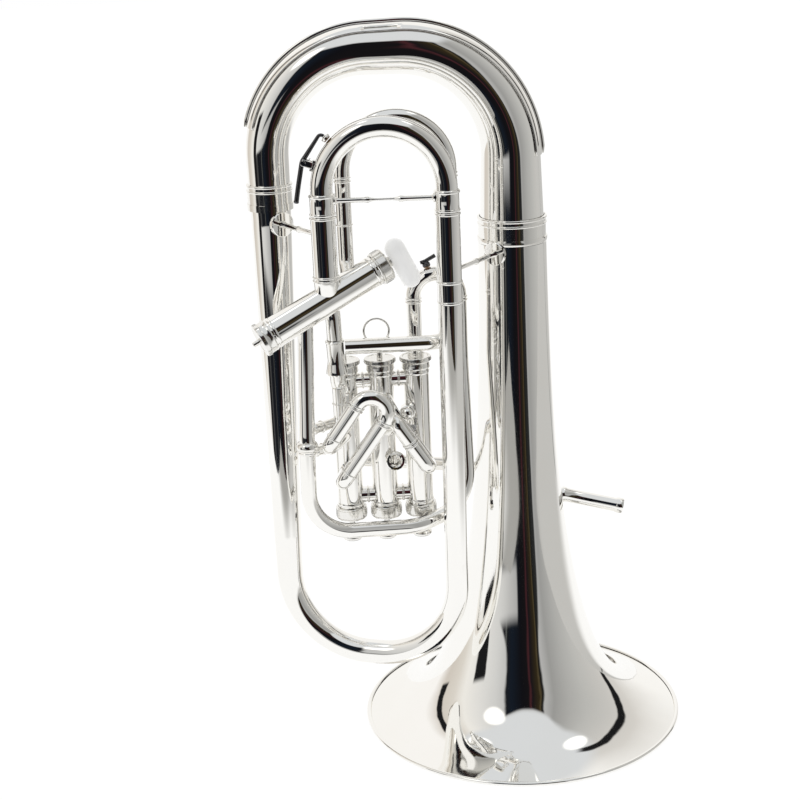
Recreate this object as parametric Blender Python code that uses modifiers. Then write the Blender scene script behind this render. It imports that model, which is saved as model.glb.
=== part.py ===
"""Compensating euphonium with three top valves and a fourth valve at the side, standing on its bell.

Metres, +Z up. The bell's axis is the Z axis and its rim rests on Z = 0. The tubes lie to the -X side of
the bell, and the valves, tuning slide and small slides on the -Y side of the main bow's plane.
"""

import math

import bmesh
import bpy
from mathutils import Matrix, Vector

# Clearances
GAP = 0.0003  # between two pieces that touch
SLIDE_FIT = 0.0003  # between a slide's leg and its sleeve
WALL = 0.0009  # of the drawn tubes

# Facets round a pipe and round a valve
PIPE_SIDES = 10
LEG_SIDES = 14
BOW_SIDES = 18
VALVE_STEPS = 16
RING_STEPS = 18

# Bell
BELL_RIM_R = 0.1500
BELL_BEAD_R = 0.0023
BELL_TOP_Z = 0.4780
BELL_THROAT_R = 0.0290
BELL_FLARE_R = 0.0740
BELL_FLARE_Z = 0.1250
BELL_LIP_Z = 0.0164
BELL_SOCKET_LENGTH = 0.0120
BELL_STATIONS = 9
BELL_STEPS = 32

# Main bow, its guard and its two ferrules
BOW_TOP_Z = 0.6398
BOW_BELL_R = 0.0290
BOW_BRANCH_R = 0.0187
BOW_BRANCH_BEND = 0.0890
BOW_BELL_BEND = 0.0970
BOW_WAIST = 0.0016
GUARD_START = 0.13
GUARD_END = 0.86
GUARD_HALF_ANGLE = math.radians(42)
GUARD_THICKNESS = 0.0014
GUARD_RIB = 0.0038
GUARD_BUNCHING = 1.6
FERRULE_WALL = 0.0012
FERRULE_LENGTH = 0.0230
FERRULE_BEAD = 0.0007

# Branch, bottom bow and long leg
BRANCH_TOP = Vector((-0.2135, 0.0, 0.5180))
BRANCH_FOOT = Vector((-0.2170, -0.0280, 0.1820))
BRANCH_FOOT_R = 0.0120
BOTTOM_BOW_Z = 0.0960
BOTTOM_BOW_BEND = 0.0740
LEG_FOOT = Vector((-0.0670, -0.0780, 0.1920))
LEG_FOOT_R = 0.0100
LEG_TOP_Z = 0.4330
LEG_TOP_R = 0.0108

# Main tuning slide
SLIDE_RIGHT = Vector((-0.0655, -0.0830, 0.0))
SLIDE_LEFT = Vector((-0.1697, -0.0740, 0.0))
SLIDE_SLEEVE_R = 0.0106
SLIDE_CROOK_R = 0.0094
SLIDE_CROOK_Z = 0.5850
SLIDE_MOUTH_Z = 0.5305
SLIDE_SLEEVE_TOP_Z = 0.5120
SLIDE_LEFT_SLEEVE_Z = 0.4620
SLIDE_LEG_DEPTH = 0.0450
SLIDE_RING_R = 0.0112
BRACE_Z = 0.5246
BRACE_THICK_R = 0.0022
BRACE_THIN_R = 0.0010

# Valves one to three
VALVE_XS = (-0.1577, -0.1261, -0.0945)
VALVE_Y = -0.0450
VALVE_BASE_Z = 0.3775
VALVE_LENGTH = 0.1485
VALVE_R = 0.0117
VALVE_CAP_R = 0.0142
VALVE_TRAVEL = 0.0155
VALVE_BUTTON_R = 0.0092
VALVE_BUTTON_T = 0.0055

# Parts that all four valves share
CASING_WALL = 0.0012
CAP_SKIRT = 0.0110
CAP_FLOOR = 0.0020
PISTON_FIT = 0.0003
STEM_R = 0.0026
STEM_FIT = 0.0005
SPRING_ROOM = 0.0130
SPRING_WIRE_R = 0.0006
SPRING_R = 0.0068
SPRING_TURNS = 5
NIPPLE_R = 0.0022
NIPPLE_HEIGHT = 0.0065

# Fourth valve
VALVE4_BASE = Vector((-0.2291, -0.0866, 0.4101))
VALVE4_TIP = Vector((-0.1169, -0.0534, 0.4635))
VALVE4_R = 0.0134
VALVE4_CAP_R = 0.0152
VALVE4_PRESS = 0.0035
VALVE4_RELEASE = 0.0120
PADDLE_R = 0.0090
PADDLE_OFFSET = 0.0070
PADDLE_HALF = 0.0145
PADDLE_STANDOFF = 0.0130

# Small tubing
PIPE_R = 0.0068
PIPE_BEND = 0.0130
SMALL_LEG_R = (PIPE_R - WALL) * math.cos(math.pi / PIPE_SIDES) - SLIDE_FIT
SLIDE4_LEFT = Vector((-0.1510, -0.0450, 0.0))
SLIDE4_RIGHT = Vector((-0.0595, -0.0450, 0.0))
SLIDE4_TOP_Z = 0.5880
SLIDE4_SLEEVE_Z = 0.5370
SLIDE4_LEG_DEPTH = 0.0450
CROSS_Y = -0.0680
CROSS_Z = 0.3950
SLIDE3_LEFT = Vector((-0.0920, -0.0150, 0.0))
SLIDE3_RIGHT = Vector((-0.0510, -0.0150, 0.0))
SLIDE3_TOP_Z = 0.4430
SLIDE3_SLEEVE_Z = 0.4200
SLIDE3_LEG_DEPTH = 0.0450
SLIDE1_MOUTH = Vector((-0.1394, -0.0950, 0.3411))
SLIDE1_LEAN = math.radians(35.4)
SLIDE1_HALF = 0.0140
SLIDE1_UPPER_LENGTH = 0.0420
SLIDE1_LOWER_LENGTH = 0.0620
SLIDE1_LEG_DEPTH = 0.0340
BRACE_LEFT_Z = 0.4950
BRACE_LEFT_FOOT_R = 0.0110
BRACE_RIGHT_Z = 0.4600
BRACE_RIGHT_FOOT_R = 0.0105
BRACE_BELL_R = 0.0312
OUTLET_CORNERS = ((-0.1655, -0.0700, 0.4230), (-0.1640, -0.0670, 0.3590))
OUTLET_ENTRY_Z = 0.3480
SLIDE2_MOUTH = Vector((-0.1040, -0.0780, 0.3100))
SLIDE2_LEAN = math.radians(32)
SLIDE2_HALF = 0.0085
SLIDE2_REACH = 0.0290
SLIDE2_FRONT_LENGTH = 0.0180
SLIDE2_FRONT_RISE = 0.0170
SLIDE2_REAR_RISE = -0.0140
SLIDE2_REAR_LENGTH = 0.0120
SLIDE2_LEG_DEPTH = 0.0095
RETURN_Z = 0.2330
RETURN_REAR_Y = -0.0392
RETURN_FRONT_Y = -0.0652
LEADPIPE_ENTRY_RISE = 0.0410
OUTLET_SKIN_X = -0.1638
RECEIVER_START = Vector((0.0480, 0.0400, 0.2040))
RECEIVER_END = Vector((0.1065, 0.0300, 0.1910))
RECEIVER_R = 0.0068
RECEIVER_END_R = 0.0076
RECEIVER_BORE_R = 0.0056
PULL_RING_R = 0.0110
PULL_WIRE_R = 0.0010
KEY_WIRE_R = 0.0018
TUNING_KEY_SLOPE = 159
TUNING_KEY_STAND = 0.0088
TUNING_PAD_SLOPE = 136
THIRD_PAD_SLOPE = 105
KEY_PAD_R = 0.0036

UP = Vector((0, 0, 1))


def clear_of(radius, steps=RING_STEPS):
    """The radius of a faceted hole that a round piece of this radius passes with a gap."""
    return (radius + GAP) / math.cos(math.pi / steps)


def empty_the_scene():
    for obj in list(bpy.data.objects):
        bpy.data.objects.remove(obj)


def new_collection(name):
    collection = bpy.data.collections.new(name)
    bpy.context.scene.collection.children.link(collection)
    return collection


def new_material(name, colour, roughness, metallic):
    material = bpy.data.materials.new(name)
    material.use_nodes = True
    shader = material.node_tree.nodes["Principled BSDF"]
    shader.inputs["Base Color"].default_value = (*colour, 1)
    shader.inputs["Roughness"].default_value = roughness
    shader.inputs["Metallic"].default_value = metallic
    return material


def place(obj, material):
    PARTS.objects.link(obj)
    obj.data.materials.append(material)
    return obj


def along(start, direction):
    """The matrix of an object at start whose local Z points along direction."""
    turn = UP.rotation_difference(Vector(direction)).to_matrix().to_4x4()
    return Matrix.Translation(start) @ turn


def route(corners, bends, steps=4):
    """Points along straight runs between corners, with an arc of the given radius at each inner one."""
    corners = [Vector(corner) for corner in corners]
    points = [corners[0]]
    for before, corner, after, bend in zip(corners, corners[1:], corners[2:], bends):
        back = (before - corner).normalized()
        ahead = (after - corner).normalized()
        half = back.angle(ahead) / 2
        reach = bend / math.tan(half)
        centre = corner + (back + ahead).normalized() * bend / math.sin(half)
        first = corner + back * reach - centre
        last = corner + ahead * reach - centre
        sweep = first.angle(last)
        count = max(2, round(steps * sweep / (math.pi / 2)))
        for i in range(count + 1):
            part = i / count
            weights = math.sin((1 - part) * sweep), math.sin(part * sweep)
            points.append(centre + (first * weights[0] + last * weights[1]) / math.sin(sweep))
    points.append(corners[-1])
    return points


def lengths(points):
    total = [0.0]
    for a, b in zip(points, points[1:]):
        total.append(total[-1] + (b - a).length)
    return total


def taper(points, first, last):
    """Radii that change evenly with the length along the points."""
    run = lengths(points)
    return [first + (last - first) * here / run[-1] for here in run]


def tube(name, points, radii, material, sides=12, wall=None):
    """A round tube along the points, solid, or with a wall and open ends."""
    if not isinstance(radii, list):
        radii = [radii] * len(points)
    curve = bpy.data.curves.new(name, "CURVE")
    curve.dimensions = "3D"
    curve.bevel_depth = max(radii)
    curve.bevel_resolution = sides // 2 - 2
    curve.use_fill_caps = wall is None
    spline = curve.splines.new("POLY")
    spline.points.add(len(points) - 1)
    for point, position, radius in zip(spline.points, points, radii):
        point.co = (*position, 1)
        point.radius = radius / curve.bevel_depth
    obj = place(bpy.data.objects.new(name, curve), material)
    if wall is not None:
        shell = obj.modifiers.new("Wall", "SOLIDIFY")
        shell.thickness = wall
        shell.offset = -1
    return obj


def as_mesh(obj):
    """The same piece as a mesh with its caps welded, which a Boolean can cut."""
    bpy.context.view_layer.update()
    graph = bpy.context.evaluated_depsgraph_get()
    mesh = bpy.data.meshes.new_from_object(obj.evaluated_get(graph))
    work = bmesh.new()
    work.from_mesh(mesh)
    bmesh.ops.remove_doubles(work, verts=work.verts, dist=1e-6)
    bmesh.ops.recalc_face_normals(work, faces=work.faces)
    work.to_mesh(mesh)
    work.free()
    name = obj.name
    matrix = obj.matrix_world.copy()
    collection = obj.users_collection[0]
    bpy.data.objects.remove(obj)
    made = bpy.data.objects.new(name, mesh)
    made.matrix_world = matrix
    collection.objects.link(made)
    return made


def turned(name, profile, material, where=None, closed=False, steps=RING_STEPS):
    """A profile of (radius, height) points, running down the outer side, turned about local Z."""
    mesh = bpy.data.meshes.new(name)
    edges = [(i, i + 1) for i in range(len(profile) - 1)]
    if closed:
        edges.append((len(profile) - 1, 0))
    mesh.from_pydata([(radius, 0, height) for radius, height in profile], edges, [])
    obj = place(bpy.data.objects.new(name, mesh), material)
    obj.matrix_world = where or Matrix()
    screw = obj.modifiers.new("Turn", "SCREW")
    screw.axis = "Z"
    screw.angle = math.tau
    screw.steps = steps
    screw.render_steps = steps
    screw.use_merge_vertices = True
    screw.merge_threshold = 1e-6
    screw.use_smooth_shade = True
    return obj


def hide_cutter(obj):
    for collection in list(obj.users_collection):
        collection.objects.unlink(obj)
    CUTTERS.objects.link(obj)
    obj.hide_render = True
    obj.display_type = "WIRE"
    return obj


def round_cutter(name, start, end, radius, sides=24):
    mesh = bpy.data.meshes.new(name)
    work = bmesh.new()
    span = end - start
    bmesh.ops.create_cone(
        work, cap_ends=True, segments=sides, radius1=radius, radius2=radius, depth=span.length
    )
    work.to_mesh(mesh)
    work.free()
    obj = bpy.data.objects.new(name, mesh)
    PARTS.objects.link(obj)
    obj.matrix_world = along((start + end) / 2, span)
    return hide_cutter(obj)


def box_cutter(name, centre, size, turn=None):
    mesh = bpy.data.meshes.new(name)
    work = bmesh.new()
    bmesh.ops.create_cube(work, size=1, matrix=Matrix.Diagonal((*size, 1)))
    work.to_mesh(mesh)
    work.free()
    obj = bpy.data.objects.new(name, mesh)
    PARTS.objects.link(obj)
    obj.matrix_world = Matrix.Translation(centre) @ (turn or Matrix())
    return hide_cutter(obj)


def tube_cutter(name, points, radii, sides=16):
    return hide_cutter(as_mesh(tube(name, points, radii, SILVER, sides)))


def combine(obj, other, operation):
    boolean = obj.modifiers.new(operation.title(), "BOOLEAN")
    boolean.operation = operation
    boolean.solver = "EXACT"
    boolean.object = other
    return obj


def cut(obj, *cutters):
    for cutter in cutters:
        combine(obj, cutter, "DIFFERENCE")
    return obj


def ring_profile(outer, inner, bottom, top, beads=()):
    """A sleeve's closed section. Each bead is (height, half width, rise) on its outer side."""
    profile = [(outer, top)]
    for height, half, rise in sorted(beads, reverse=True):
        profile += [(outer, height + half), (outer + rise, height + half / 2)]
        profile += [(outer + rise, height - half / 2), (outer, height - half)]
    profile += [(outer, bottom), (inner, bottom), (inner, top)]
    return [p for i, p in enumerate(profile) if i == 0 or p != profile[i - 1]]


def joint_empty(name, position):
    empty = bpy.data.objects.new(name, None)
    PARTS.objects.link(empty)
    empty.location = position
    bpy.context.view_layer.update()
    return empty


def ride(empty, *pieces):
    for piece in pieces:
        piece.parent = empty
        piece.matrix_parent_inverse = empty.matrix_world.inverted()


def bell_radius(height):
    lip = BELL_RIM_R - BELL_THROAT_R - BELL_FLARE_R
    flare = BELL_FLARE_R * math.exp(-height / BELL_FLARE_Z)
    return BELL_THROAT_R + flare + lip * math.exp(-height / BELL_LIP_Z)


def build_bell():
    bead_z = BELL_BEAD_R * math.cos(math.pi / 8)
    shoulder_z = BELL_TOP_Z - BELL_SOCKET_LENGTH
    outer = []
    for i in range(BELL_STATIONS, 0, -1):
        height = (shoulder_z - bead_z) * (i / BELL_STATIONS) ** 2.3
        outer.append((bell_radius(height), height + bead_z))
    inner = []
    for i, (radius, height) in enumerate(outer):
        before = outer[max(i - 1, 0)]
        after = outer[min(i + 1, len(outer) - 1)]
        slope = Vector((after[0] - before[0], after[1] - before[1])).normalized()
        inner.append((radius + slope.y * WALL, height - slope.x * WALL))
    bead = []
    for degrees in (112.5, 67.5, 22.5, -22.5, -67.5, -112.5, -157.5):
        angle = math.radians(degrees)
        bead.append((BELL_RIM_R + BELL_BEAD_R * math.cos(angle), bead_z + BELL_BEAD_R * math.sin(angle)))
    socket = [(BOW_BELL_R, BELL_TOP_Z), (BOW_BELL_R, shoulder_z + GAP)]
    bore = [(BOW_BELL_R - WALL, shoulder_z), (BOW_BELL_R - WALL, BELL_TOP_Z)]
    profile = socket + outer + bead + inner[::-1] + bore
    turned("bell", profile, SILVER, closed=True, steps=BELL_STEPS)
    profile = ring_profile(
        clear_of(BOW_BELL_R) + FERRULE_WALL,
        clear_of(BOW_BELL_R),
        shoulder_z + 2 * GAP,
        shoulder_z + FERRULE_LENGTH,
        [(shoulder_z + FERRULE_LENGTH - 0.0015, 0.0012, FERRULE_BEAD)],
    )
    turned("bell_ferrule", profile, SILVER, closed=True)


def bow_path():
    start = BRANCH_TOP + UP * GAP
    corners = [start, (start.x, 0, BOW_TOP_Z), (0, 0, BOW_TOP_Z), (0, 0, BELL_TOP_Z + GAP)]
    points = route(corners, (BOW_BRANCH_BEND, BOW_BELL_BEND), 7)
    waist = BOW_WAIST * 4
    even = taper(points, 0, 1)
    radii = [
        BOW_BRANCH_R + (BOW_BELL_R - BOW_BRANCH_R) * share - waist * share * (1 - share) for share in even
    ]
    return points, radii


def build_guard(stations):
    """A plate wrapped over the outside of the bow, with a raised rib down its middle."""
    work = bmesh.new()
    rows = []
    half = 4
    for before, here, after, radius in stations:
        tangent = (after - here).normalized() + (here - before).normalized()
        outward = tangent.normalized().cross(Vector((0, 1, 0)))
        inner = (radius + 2 * GAP) / math.cos(math.pi / BOW_SIDES)
        under = []
        over = []
        for j in range(-half, half + 1):
            share = abs(j) / half
            angle = math.copysign(GUARD_HALF_ANGLE * share ** GUARD_BUNCHING, j)
            side = outward * math.cos(angle) + Vector((0, 1, 0)) * math.sin(angle)
            height = GUARD_THICKNESS if j else GUARD_RIB
            under.append(work.verts.new(here + side * inner))
            over.append(work.verts.new(here + side * (inner + height)))
        rows.append(under + over[::-1])
    for row, following in zip(rows, rows[1:]):
        for a, b, c, d in zip(row, row[1:] + row[:1], following[1:] + following[:1], following):
            work.faces.new((a, b, c, d))
    for row in (rows[0], rows[-1]):
        count = len(row)
        for j in range(count // 2 - 1):
            work.faces.new((row[j], row[j + 1], row[count - 2 - j], row[count - 1 - j]))
    bmesh.ops.recalc_face_normals(work, faces=work.faces)
    mesh = bpy.data.meshes.new("bow_guard")
    work.to_mesh(mesh)
    work.free()
    place(bpy.data.objects.new("bow_guard", mesh), SILVER)


def build_main_bow():
    points, radii = bow_path()
    tube("main_bow", points, radii, SILVER, BOW_SIDES, WALL)
    run = lengths(points)
    stations = [
        i for i, here in enumerate(run) if GUARD_START < here / run[-1] < GUARD_END
    ]
    build_guard([(points[i - 1], points[i], points[i + 1], radii[i]) for i in stations])
    profile = ring_profile(
        clear_of(BOW_BRANCH_R) + FERRULE_WALL,
        clear_of(BOW_BRANCH_R),
        -FERRULE_LENGTH / 2,
        FERRULE_LENGTH / 2,
        [(s * (FERRULE_LENGTH / 2 - 0.0015), 0.0012, FERRULE_BEAD) for s in (-1, 1)],
    )
    where = Matrix.Translation((BRANCH_TOP.x, 0, BRANCH_TOP.z))
    turned("branch_ferrule", profile, SILVER, where, closed=True)


def build_branch():
    lead = UP * FERRULE_LENGTH
    points = route([BRANCH_TOP, BRANCH_TOP - lead, BRANCH_FOOT + lead, BRANCH_FOOT], (0.09, 0.09), 18)
    tube("left_branch", points, taper(points, BOW_BRANCH_R - GAP, BRANCH_FOOT_R), SILVER, BOW_SIDES, WALL)
    start = BRANCH_FOOT - UP * GAP
    end = LEG_FOOT - UP * GAP
    left = (start.x, start.y, BOTTOM_BOW_Z)
    right = (end.x, end.y, BOTTOM_BOW_Z)
    points = route([start, left, right, end], (BOTTOM_BOW_BEND, BOTTOM_BOW_BEND), 6)
    tube("bottom_bow", points, taper(points, BRANCH_FOOT_R, LEG_FOOT_R), SILVER, LEG_SIDES, WALL)
    top = Vector((SLIDE_RIGHT.x, SLIDE_RIGHT.y, LEG_TOP_Z - GAP))
    tube("long_leg", [LEG_FOOT, top], [LEG_FOOT_R, LEG_TOP_R], SILVER, LEG_SIDES, WALL)


def at(post, height):
    return Vector((post.x, post.y, height))


def build_tuning_slide():
    sleeve_bore = SLIDE_SLEEVE_R - WALL
    ring = (0.0012, FERRULE_BEAD)
    beads = [(SLIDE_SLEEVE_TOP_Z - 0.0014, *ring), (LEG_TOP_Z + 0.0190, *ring), (LEG_TOP_Z + 0.0014, *ring)]
    profile = ring_profile(SLIDE_SLEEVE_R, sleeve_bore, LEG_TOP_Z, SLIDE_SLEEVE_TOP_Z, beads)
    where = Matrix.Translation(SLIDE_RIGHT)
    turned("tuning_sleeve_right", profile, SILVER, where, closed=True)

    entry = valve4_point(SLIDE_LEFT.x + 0.0010)
    elbow = at(SLIDE_LEFT, SLIDE_LEFT_SLEEVE_Z - 0.0060)
    points = route([at(SLIDE_LEFT, SLIDE_SLEEVE_TOP_Z), elbow, entry], (0.0100,))
    sleeve = as_mesh(tube("tuning_sleeve_left", points, SLIDE_SLEEVE_R, SILVER, 16, WALL))
    cut(sleeve, VALVE_CUTTERS[3])

    mouth = SLIDE_MOUTH_Z + GAP
    bend = (SLIDE_RIGHT - SLIDE_LEFT).length / 2
    left, right = at(SLIDE_LEFT, SLIDE_CROOK_Z), at(SLIDE_RIGHT, SLIDE_CROOK_Z)
    points = route([at(SLIDE_LEFT, mouth), left, right, at(SLIDE_RIGHT, mouth)], (bend - 1e-5,) * 2, 5)
    crook = tube("tuning_crook", points, SLIDE_CROOK_R, SILVER, LEG_SIDES, WALL)
    pieces = [crook]
    leg_r = sleeve_bore - SLIDE_FIT
    foot = SLIDE_SLEEVE_TOP_Z - SLIDE_LEG_DEPTH
    collar = SLIDE_SLEEVE_TOP_Z + 2 * GAP
    for side, post in (("left", SLIDE_LEFT), ("right", SLIDE_RIGHT)):
        profile = [
            (SLIDE_RING_R, SLIDE_MOUTH_Z),
            (SLIDE_RING_R, SLIDE_MOUTH_Z - 0.0025),
            (SLIDE_SLEEVE_R, SLIDE_MOUTH_Z - 0.0032),
            (SLIDE_SLEEVE_R, collar + 0.0025),
            (SLIDE_RING_R, collar + 0.0018),
            (SLIDE_RING_R, collar),
            (leg_r, collar),
            (leg_r, foot),
            (leg_r - WALL, foot),
            (leg_r - WALL, SLIDE_MOUTH_Z),
        ]
        where = Matrix.Translation(post)
        pieces.append(turned("tuning_leg_" + side, profile, SILVER, where, closed=True))
    start = at(SLIDE_LEFT, BRACE_Z) + Vector((SLIDE_SLEEVE_R + GAP, 0, 0))
    end = at(SLIDE_RIGHT, BRACE_Z) - Vector((SLIDE_SLEEVE_R + GAP, 0, 0))
    span = (end - start).length
    profile = [(0, span)]
    for share, radius in ((1, 1), (0.62, 1), (0.59, 0), (0.41, 0), (0.38, 1), (0, 1)):
        thickness = BRACE_THICK_R if radius else BRACE_THIN_R
        profile.append((thickness, span * share))
    profile.append((0, 0))
    pieces.append(turned("tuning_brace", profile, SILVER, along(start, end - start), steps=12))

    middle = (left + right) / 2 - UP * bend
    ahead = (right - left).normalized()
    slope = math.radians(TUNING_KEY_SLOPE)
    outward = ahead * math.cos(slope) + UP * math.sin(slope)
    level = UP.cross(ahead)
    turn = Matrix((outward, level, outward.cross(level))).transposed().to_4x4()
    root = middle + outward * (bend + SLIDE_CROOK_R)
    pivot = root + outward * TUNING_KEY_STAND
    block = box_cutter("tuning_key_saddle", root + outward * 0.0030, (0.0140, 0.0090, 0.0080))
    block.hide_render = False
    block.display_type = "TEXTURED"
    CUTTERS.objects.unlink(block)
    place(block, SILVER)
    block.matrix_world = Matrix.Translation(root + outward * 0.0030) @ turn
    crook_cutter = tube_cutter("tuning_crook_cutter", points, SLIDE_CROOK_R + GAP)
    slot = box_cutter("tuning_key_slot", pivot, (0.0120, 2 * KEY_WIRE_R + 0.0010, 0.0200), turn)
    cut(block, crook_cutter, slot)
    pieces.append(block)

    nose = math.radians(TUNING_PAD_SLOPE)
    towards = ahead * math.cos(nose) + UP * math.sin(nose)
    pad = middle + towards * (bend + SLIDE_CROOK_R + 2 * GAP)
    knee = pad + towards * 0.0085
    corners = [pad + towards * 0.0030, knee, pivot + outward * 0.0010]
    corners += [pivot - ahead * 0.0052 - UP * 0.0190, pivot - ahead * 0.0078 - UP * 0.0330]
    lever = as_mesh(tube("tuning_key_lever", route(corners, (0.003, 0.010, 0.02), 4), KEY_WIRE_R, DARK, 8))
    disc = round_cutter("tuning_key_pad", pad, pad + towards * 0.0040, KEY_PAD_R, 12)
    combine(lever, disc, "UNION")
    slide = joint_empty("tuning_slide_axis", at(SLIDE_RIGHT, SLIDE_MOUTH_Z))
    ride(slide, *pieces)
    key = joint_empty("tuning_key_axis", pivot)
    ride(slide, key)
    ride(key, lever)


def build_valve(name, base, tip, radius, cap_radius, travel, rest, spring):
    """Casing, caps, piston and spring, on a Z that runs from the bottom cap's end to the top cap's."""
    frame = along(base, tip - base)
    length = (tip - base).length
    bore = radius - CASING_WALL
    seat = CAP_FLOOR + GAP
    profile = ring_profile(radius, bore, seat, length - seat)
    turned(name + "_casing", profile, SILVER, frame, closed=True, steps=VALVE_STEPS)
    skirt_bore = radius + GAP
    dish = cap_radius - 0.0030
    bottom = [
        (skirt_bore, CAP_SKIRT),
        (cap_radius, CAP_SKIRT),
        (cap_radius, 0.0010),
        (cap_radius - 0.0010, 0.0000),
        (dish, 0.0000),
        (dish - 0.0008, 0.0008),
        (NIPPLE_R, 0.0008),
        (NIPPLE_R, -NIPPLE_HEIGHT),
        (0, -NIPPLE_HEIGHT),
        (0, CAP_FLOOR),
        (skirt_bore, CAP_FLOOR),
    ]
    turned(name + "_bottom_cap", bottom[1:] + bottom[:1], CAP_SILVER, frame, steps=VALVE_STEPS, closed=True)
    top = [
        (cap_radius - 0.0012, length),
        (cap_radius, length - 0.0014),
        (cap_radius, length - CAP_SKIRT),
        (skirt_bore, length - CAP_SKIRT),
        (skirt_bore, length - CAP_FLOOR),
        (STEM_R + STEM_FIT, length - CAP_FLOOR),
        (STEM_R + STEM_FIT, length),
    ]
    turned(name + "_top_cap", top, CAP_SILVER, frame, steps=VALVE_STEPS, closed=True)
    piston_r = bore - PISTON_FIT
    low = seat + travel + (SPRING_ROOM if spring else 0)
    high = length - seat - rest
    piston = [
        (0, high + rest + CAP_FLOOR + travel),
        (STEM_R, high + rest + CAP_FLOOR + travel),
        (STEM_R, high),
        (piston_r, high),
        (piston_r, low),
        (0, low),
    ]
    return frame, length, piston, low, seat


def build_valves():
    for number, x in enumerate(VALVE_XS, 1):
        name = "valve" + str(number)
        base = Vector((x, VALVE_Y, VALVE_BASE_Z))
        tip = base - UP * VALVE_LENGTH
        frame, length, piston, low, seat = build_valve(
            name, base, tip, VALVE_R, VALVE_CAP_R, VALVE_TRAVEL, 0.0005, True
        )
        stand = length + VALVE_TRAVEL + 0.0012
        piston[0] = (0, stand - GAP)
        piston[1] = (STEM_R, stand - GAP)
        plunger = turned(name + "_piston", piston, PISTON_METAL, frame, steps=VALVE_STEPS)
        button_profile = [
            (0, stand + VALVE_BUTTON_T),
            (VALVE_BUTTON_R * 0.7, stand + VALVE_BUTTON_T * 0.9),
            (VALVE_BUTTON_R, stand + VALVE_BUTTON_T * 0.6),
            (VALVE_BUTTON_R, stand + VALVE_BUTTON_T * 0.3),
            (VALVE_BUTTON_R * 0.8, stand),
            (0, stand),
        ]
        button = turned(name + "_button", button_profile, PEARL, frame, steps=16)
        axis = joint_empty(name + "_axis", tip)
        ride(axis, plunger, button)
        turns = 6 * SPRING_TURNS
        first = seat + SPRING_WIRE_R + GAP
        rise = low - seat - 2 * (SPRING_WIRE_R + GAP)
        points = []
        for i in range(turns + 1):
            angle = math.tau * i / 6
            height = first + rise * i / turns
            spot = Vector((SPRING_R * math.cos(angle), SPRING_R * math.sin(angle), height))
            points.append(frame @ spot)
        tube(name + "_spring", points, SPRING_WIRE_R, STEEL, 6)


def valve4_point(x):
    """The point of the fourth valve's axis at this X."""
    share = (x - VALVE4_BASE.x) / (VALVE4_TIP.x - VALVE4_BASE.x)
    return VALVE4_BASE.lerp(VALVE4_TIP, share)


def build_valve4():
    frame, length, piston, low, seat = build_valve(
        "valve4", VALVE4_BASE, VALVE4_TIP, VALVE4_R, VALVE4_CAP_R, VALVE4_PRESS, VALVE4_RELEASE, False
    )
    piston[0] = (0, length + PADDLE_STANDOFF - PADDLE_R - GAP)
    piston[1] = (STEM_R, length + PADDLE_STANDOFF - PADDLE_R - GAP)
    plunger = turned("valve4_piston", piston, PISTON_METAL, frame, steps=VALVE_STEPS)
    out = (VALVE4_TIP - VALVE4_BASE).normalized()
    across = out.cross(Vector((0, 1, 0))).normalized()
    if across.z > 0:
        across = -across
    centre = VALVE4_TIP + out * PADDLE_STANDOFF + across * PADDLE_OFFSET
    rounding = []
    for i in range(5):
        angle = math.pi / 2 * (1 - i / 4)
        rounding.append((PADDLE_R * math.cos(angle), PADDLE_HALF + PADDLE_R * math.sin(angle)))
    profile = rounding + [(radius, -height) for radius, height in reversed(rounding)]
    profile[0] = (0, profile[0][1])
    profile[-1] = (0, profile[-1][1])
    paddle = turned("valve4_button", profile, PEARL, along(centre, across), steps=16)
    axis = joint_empty("valve4_axis", VALVE4_TIP)
    ride(axis, plunger, paddle)


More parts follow.
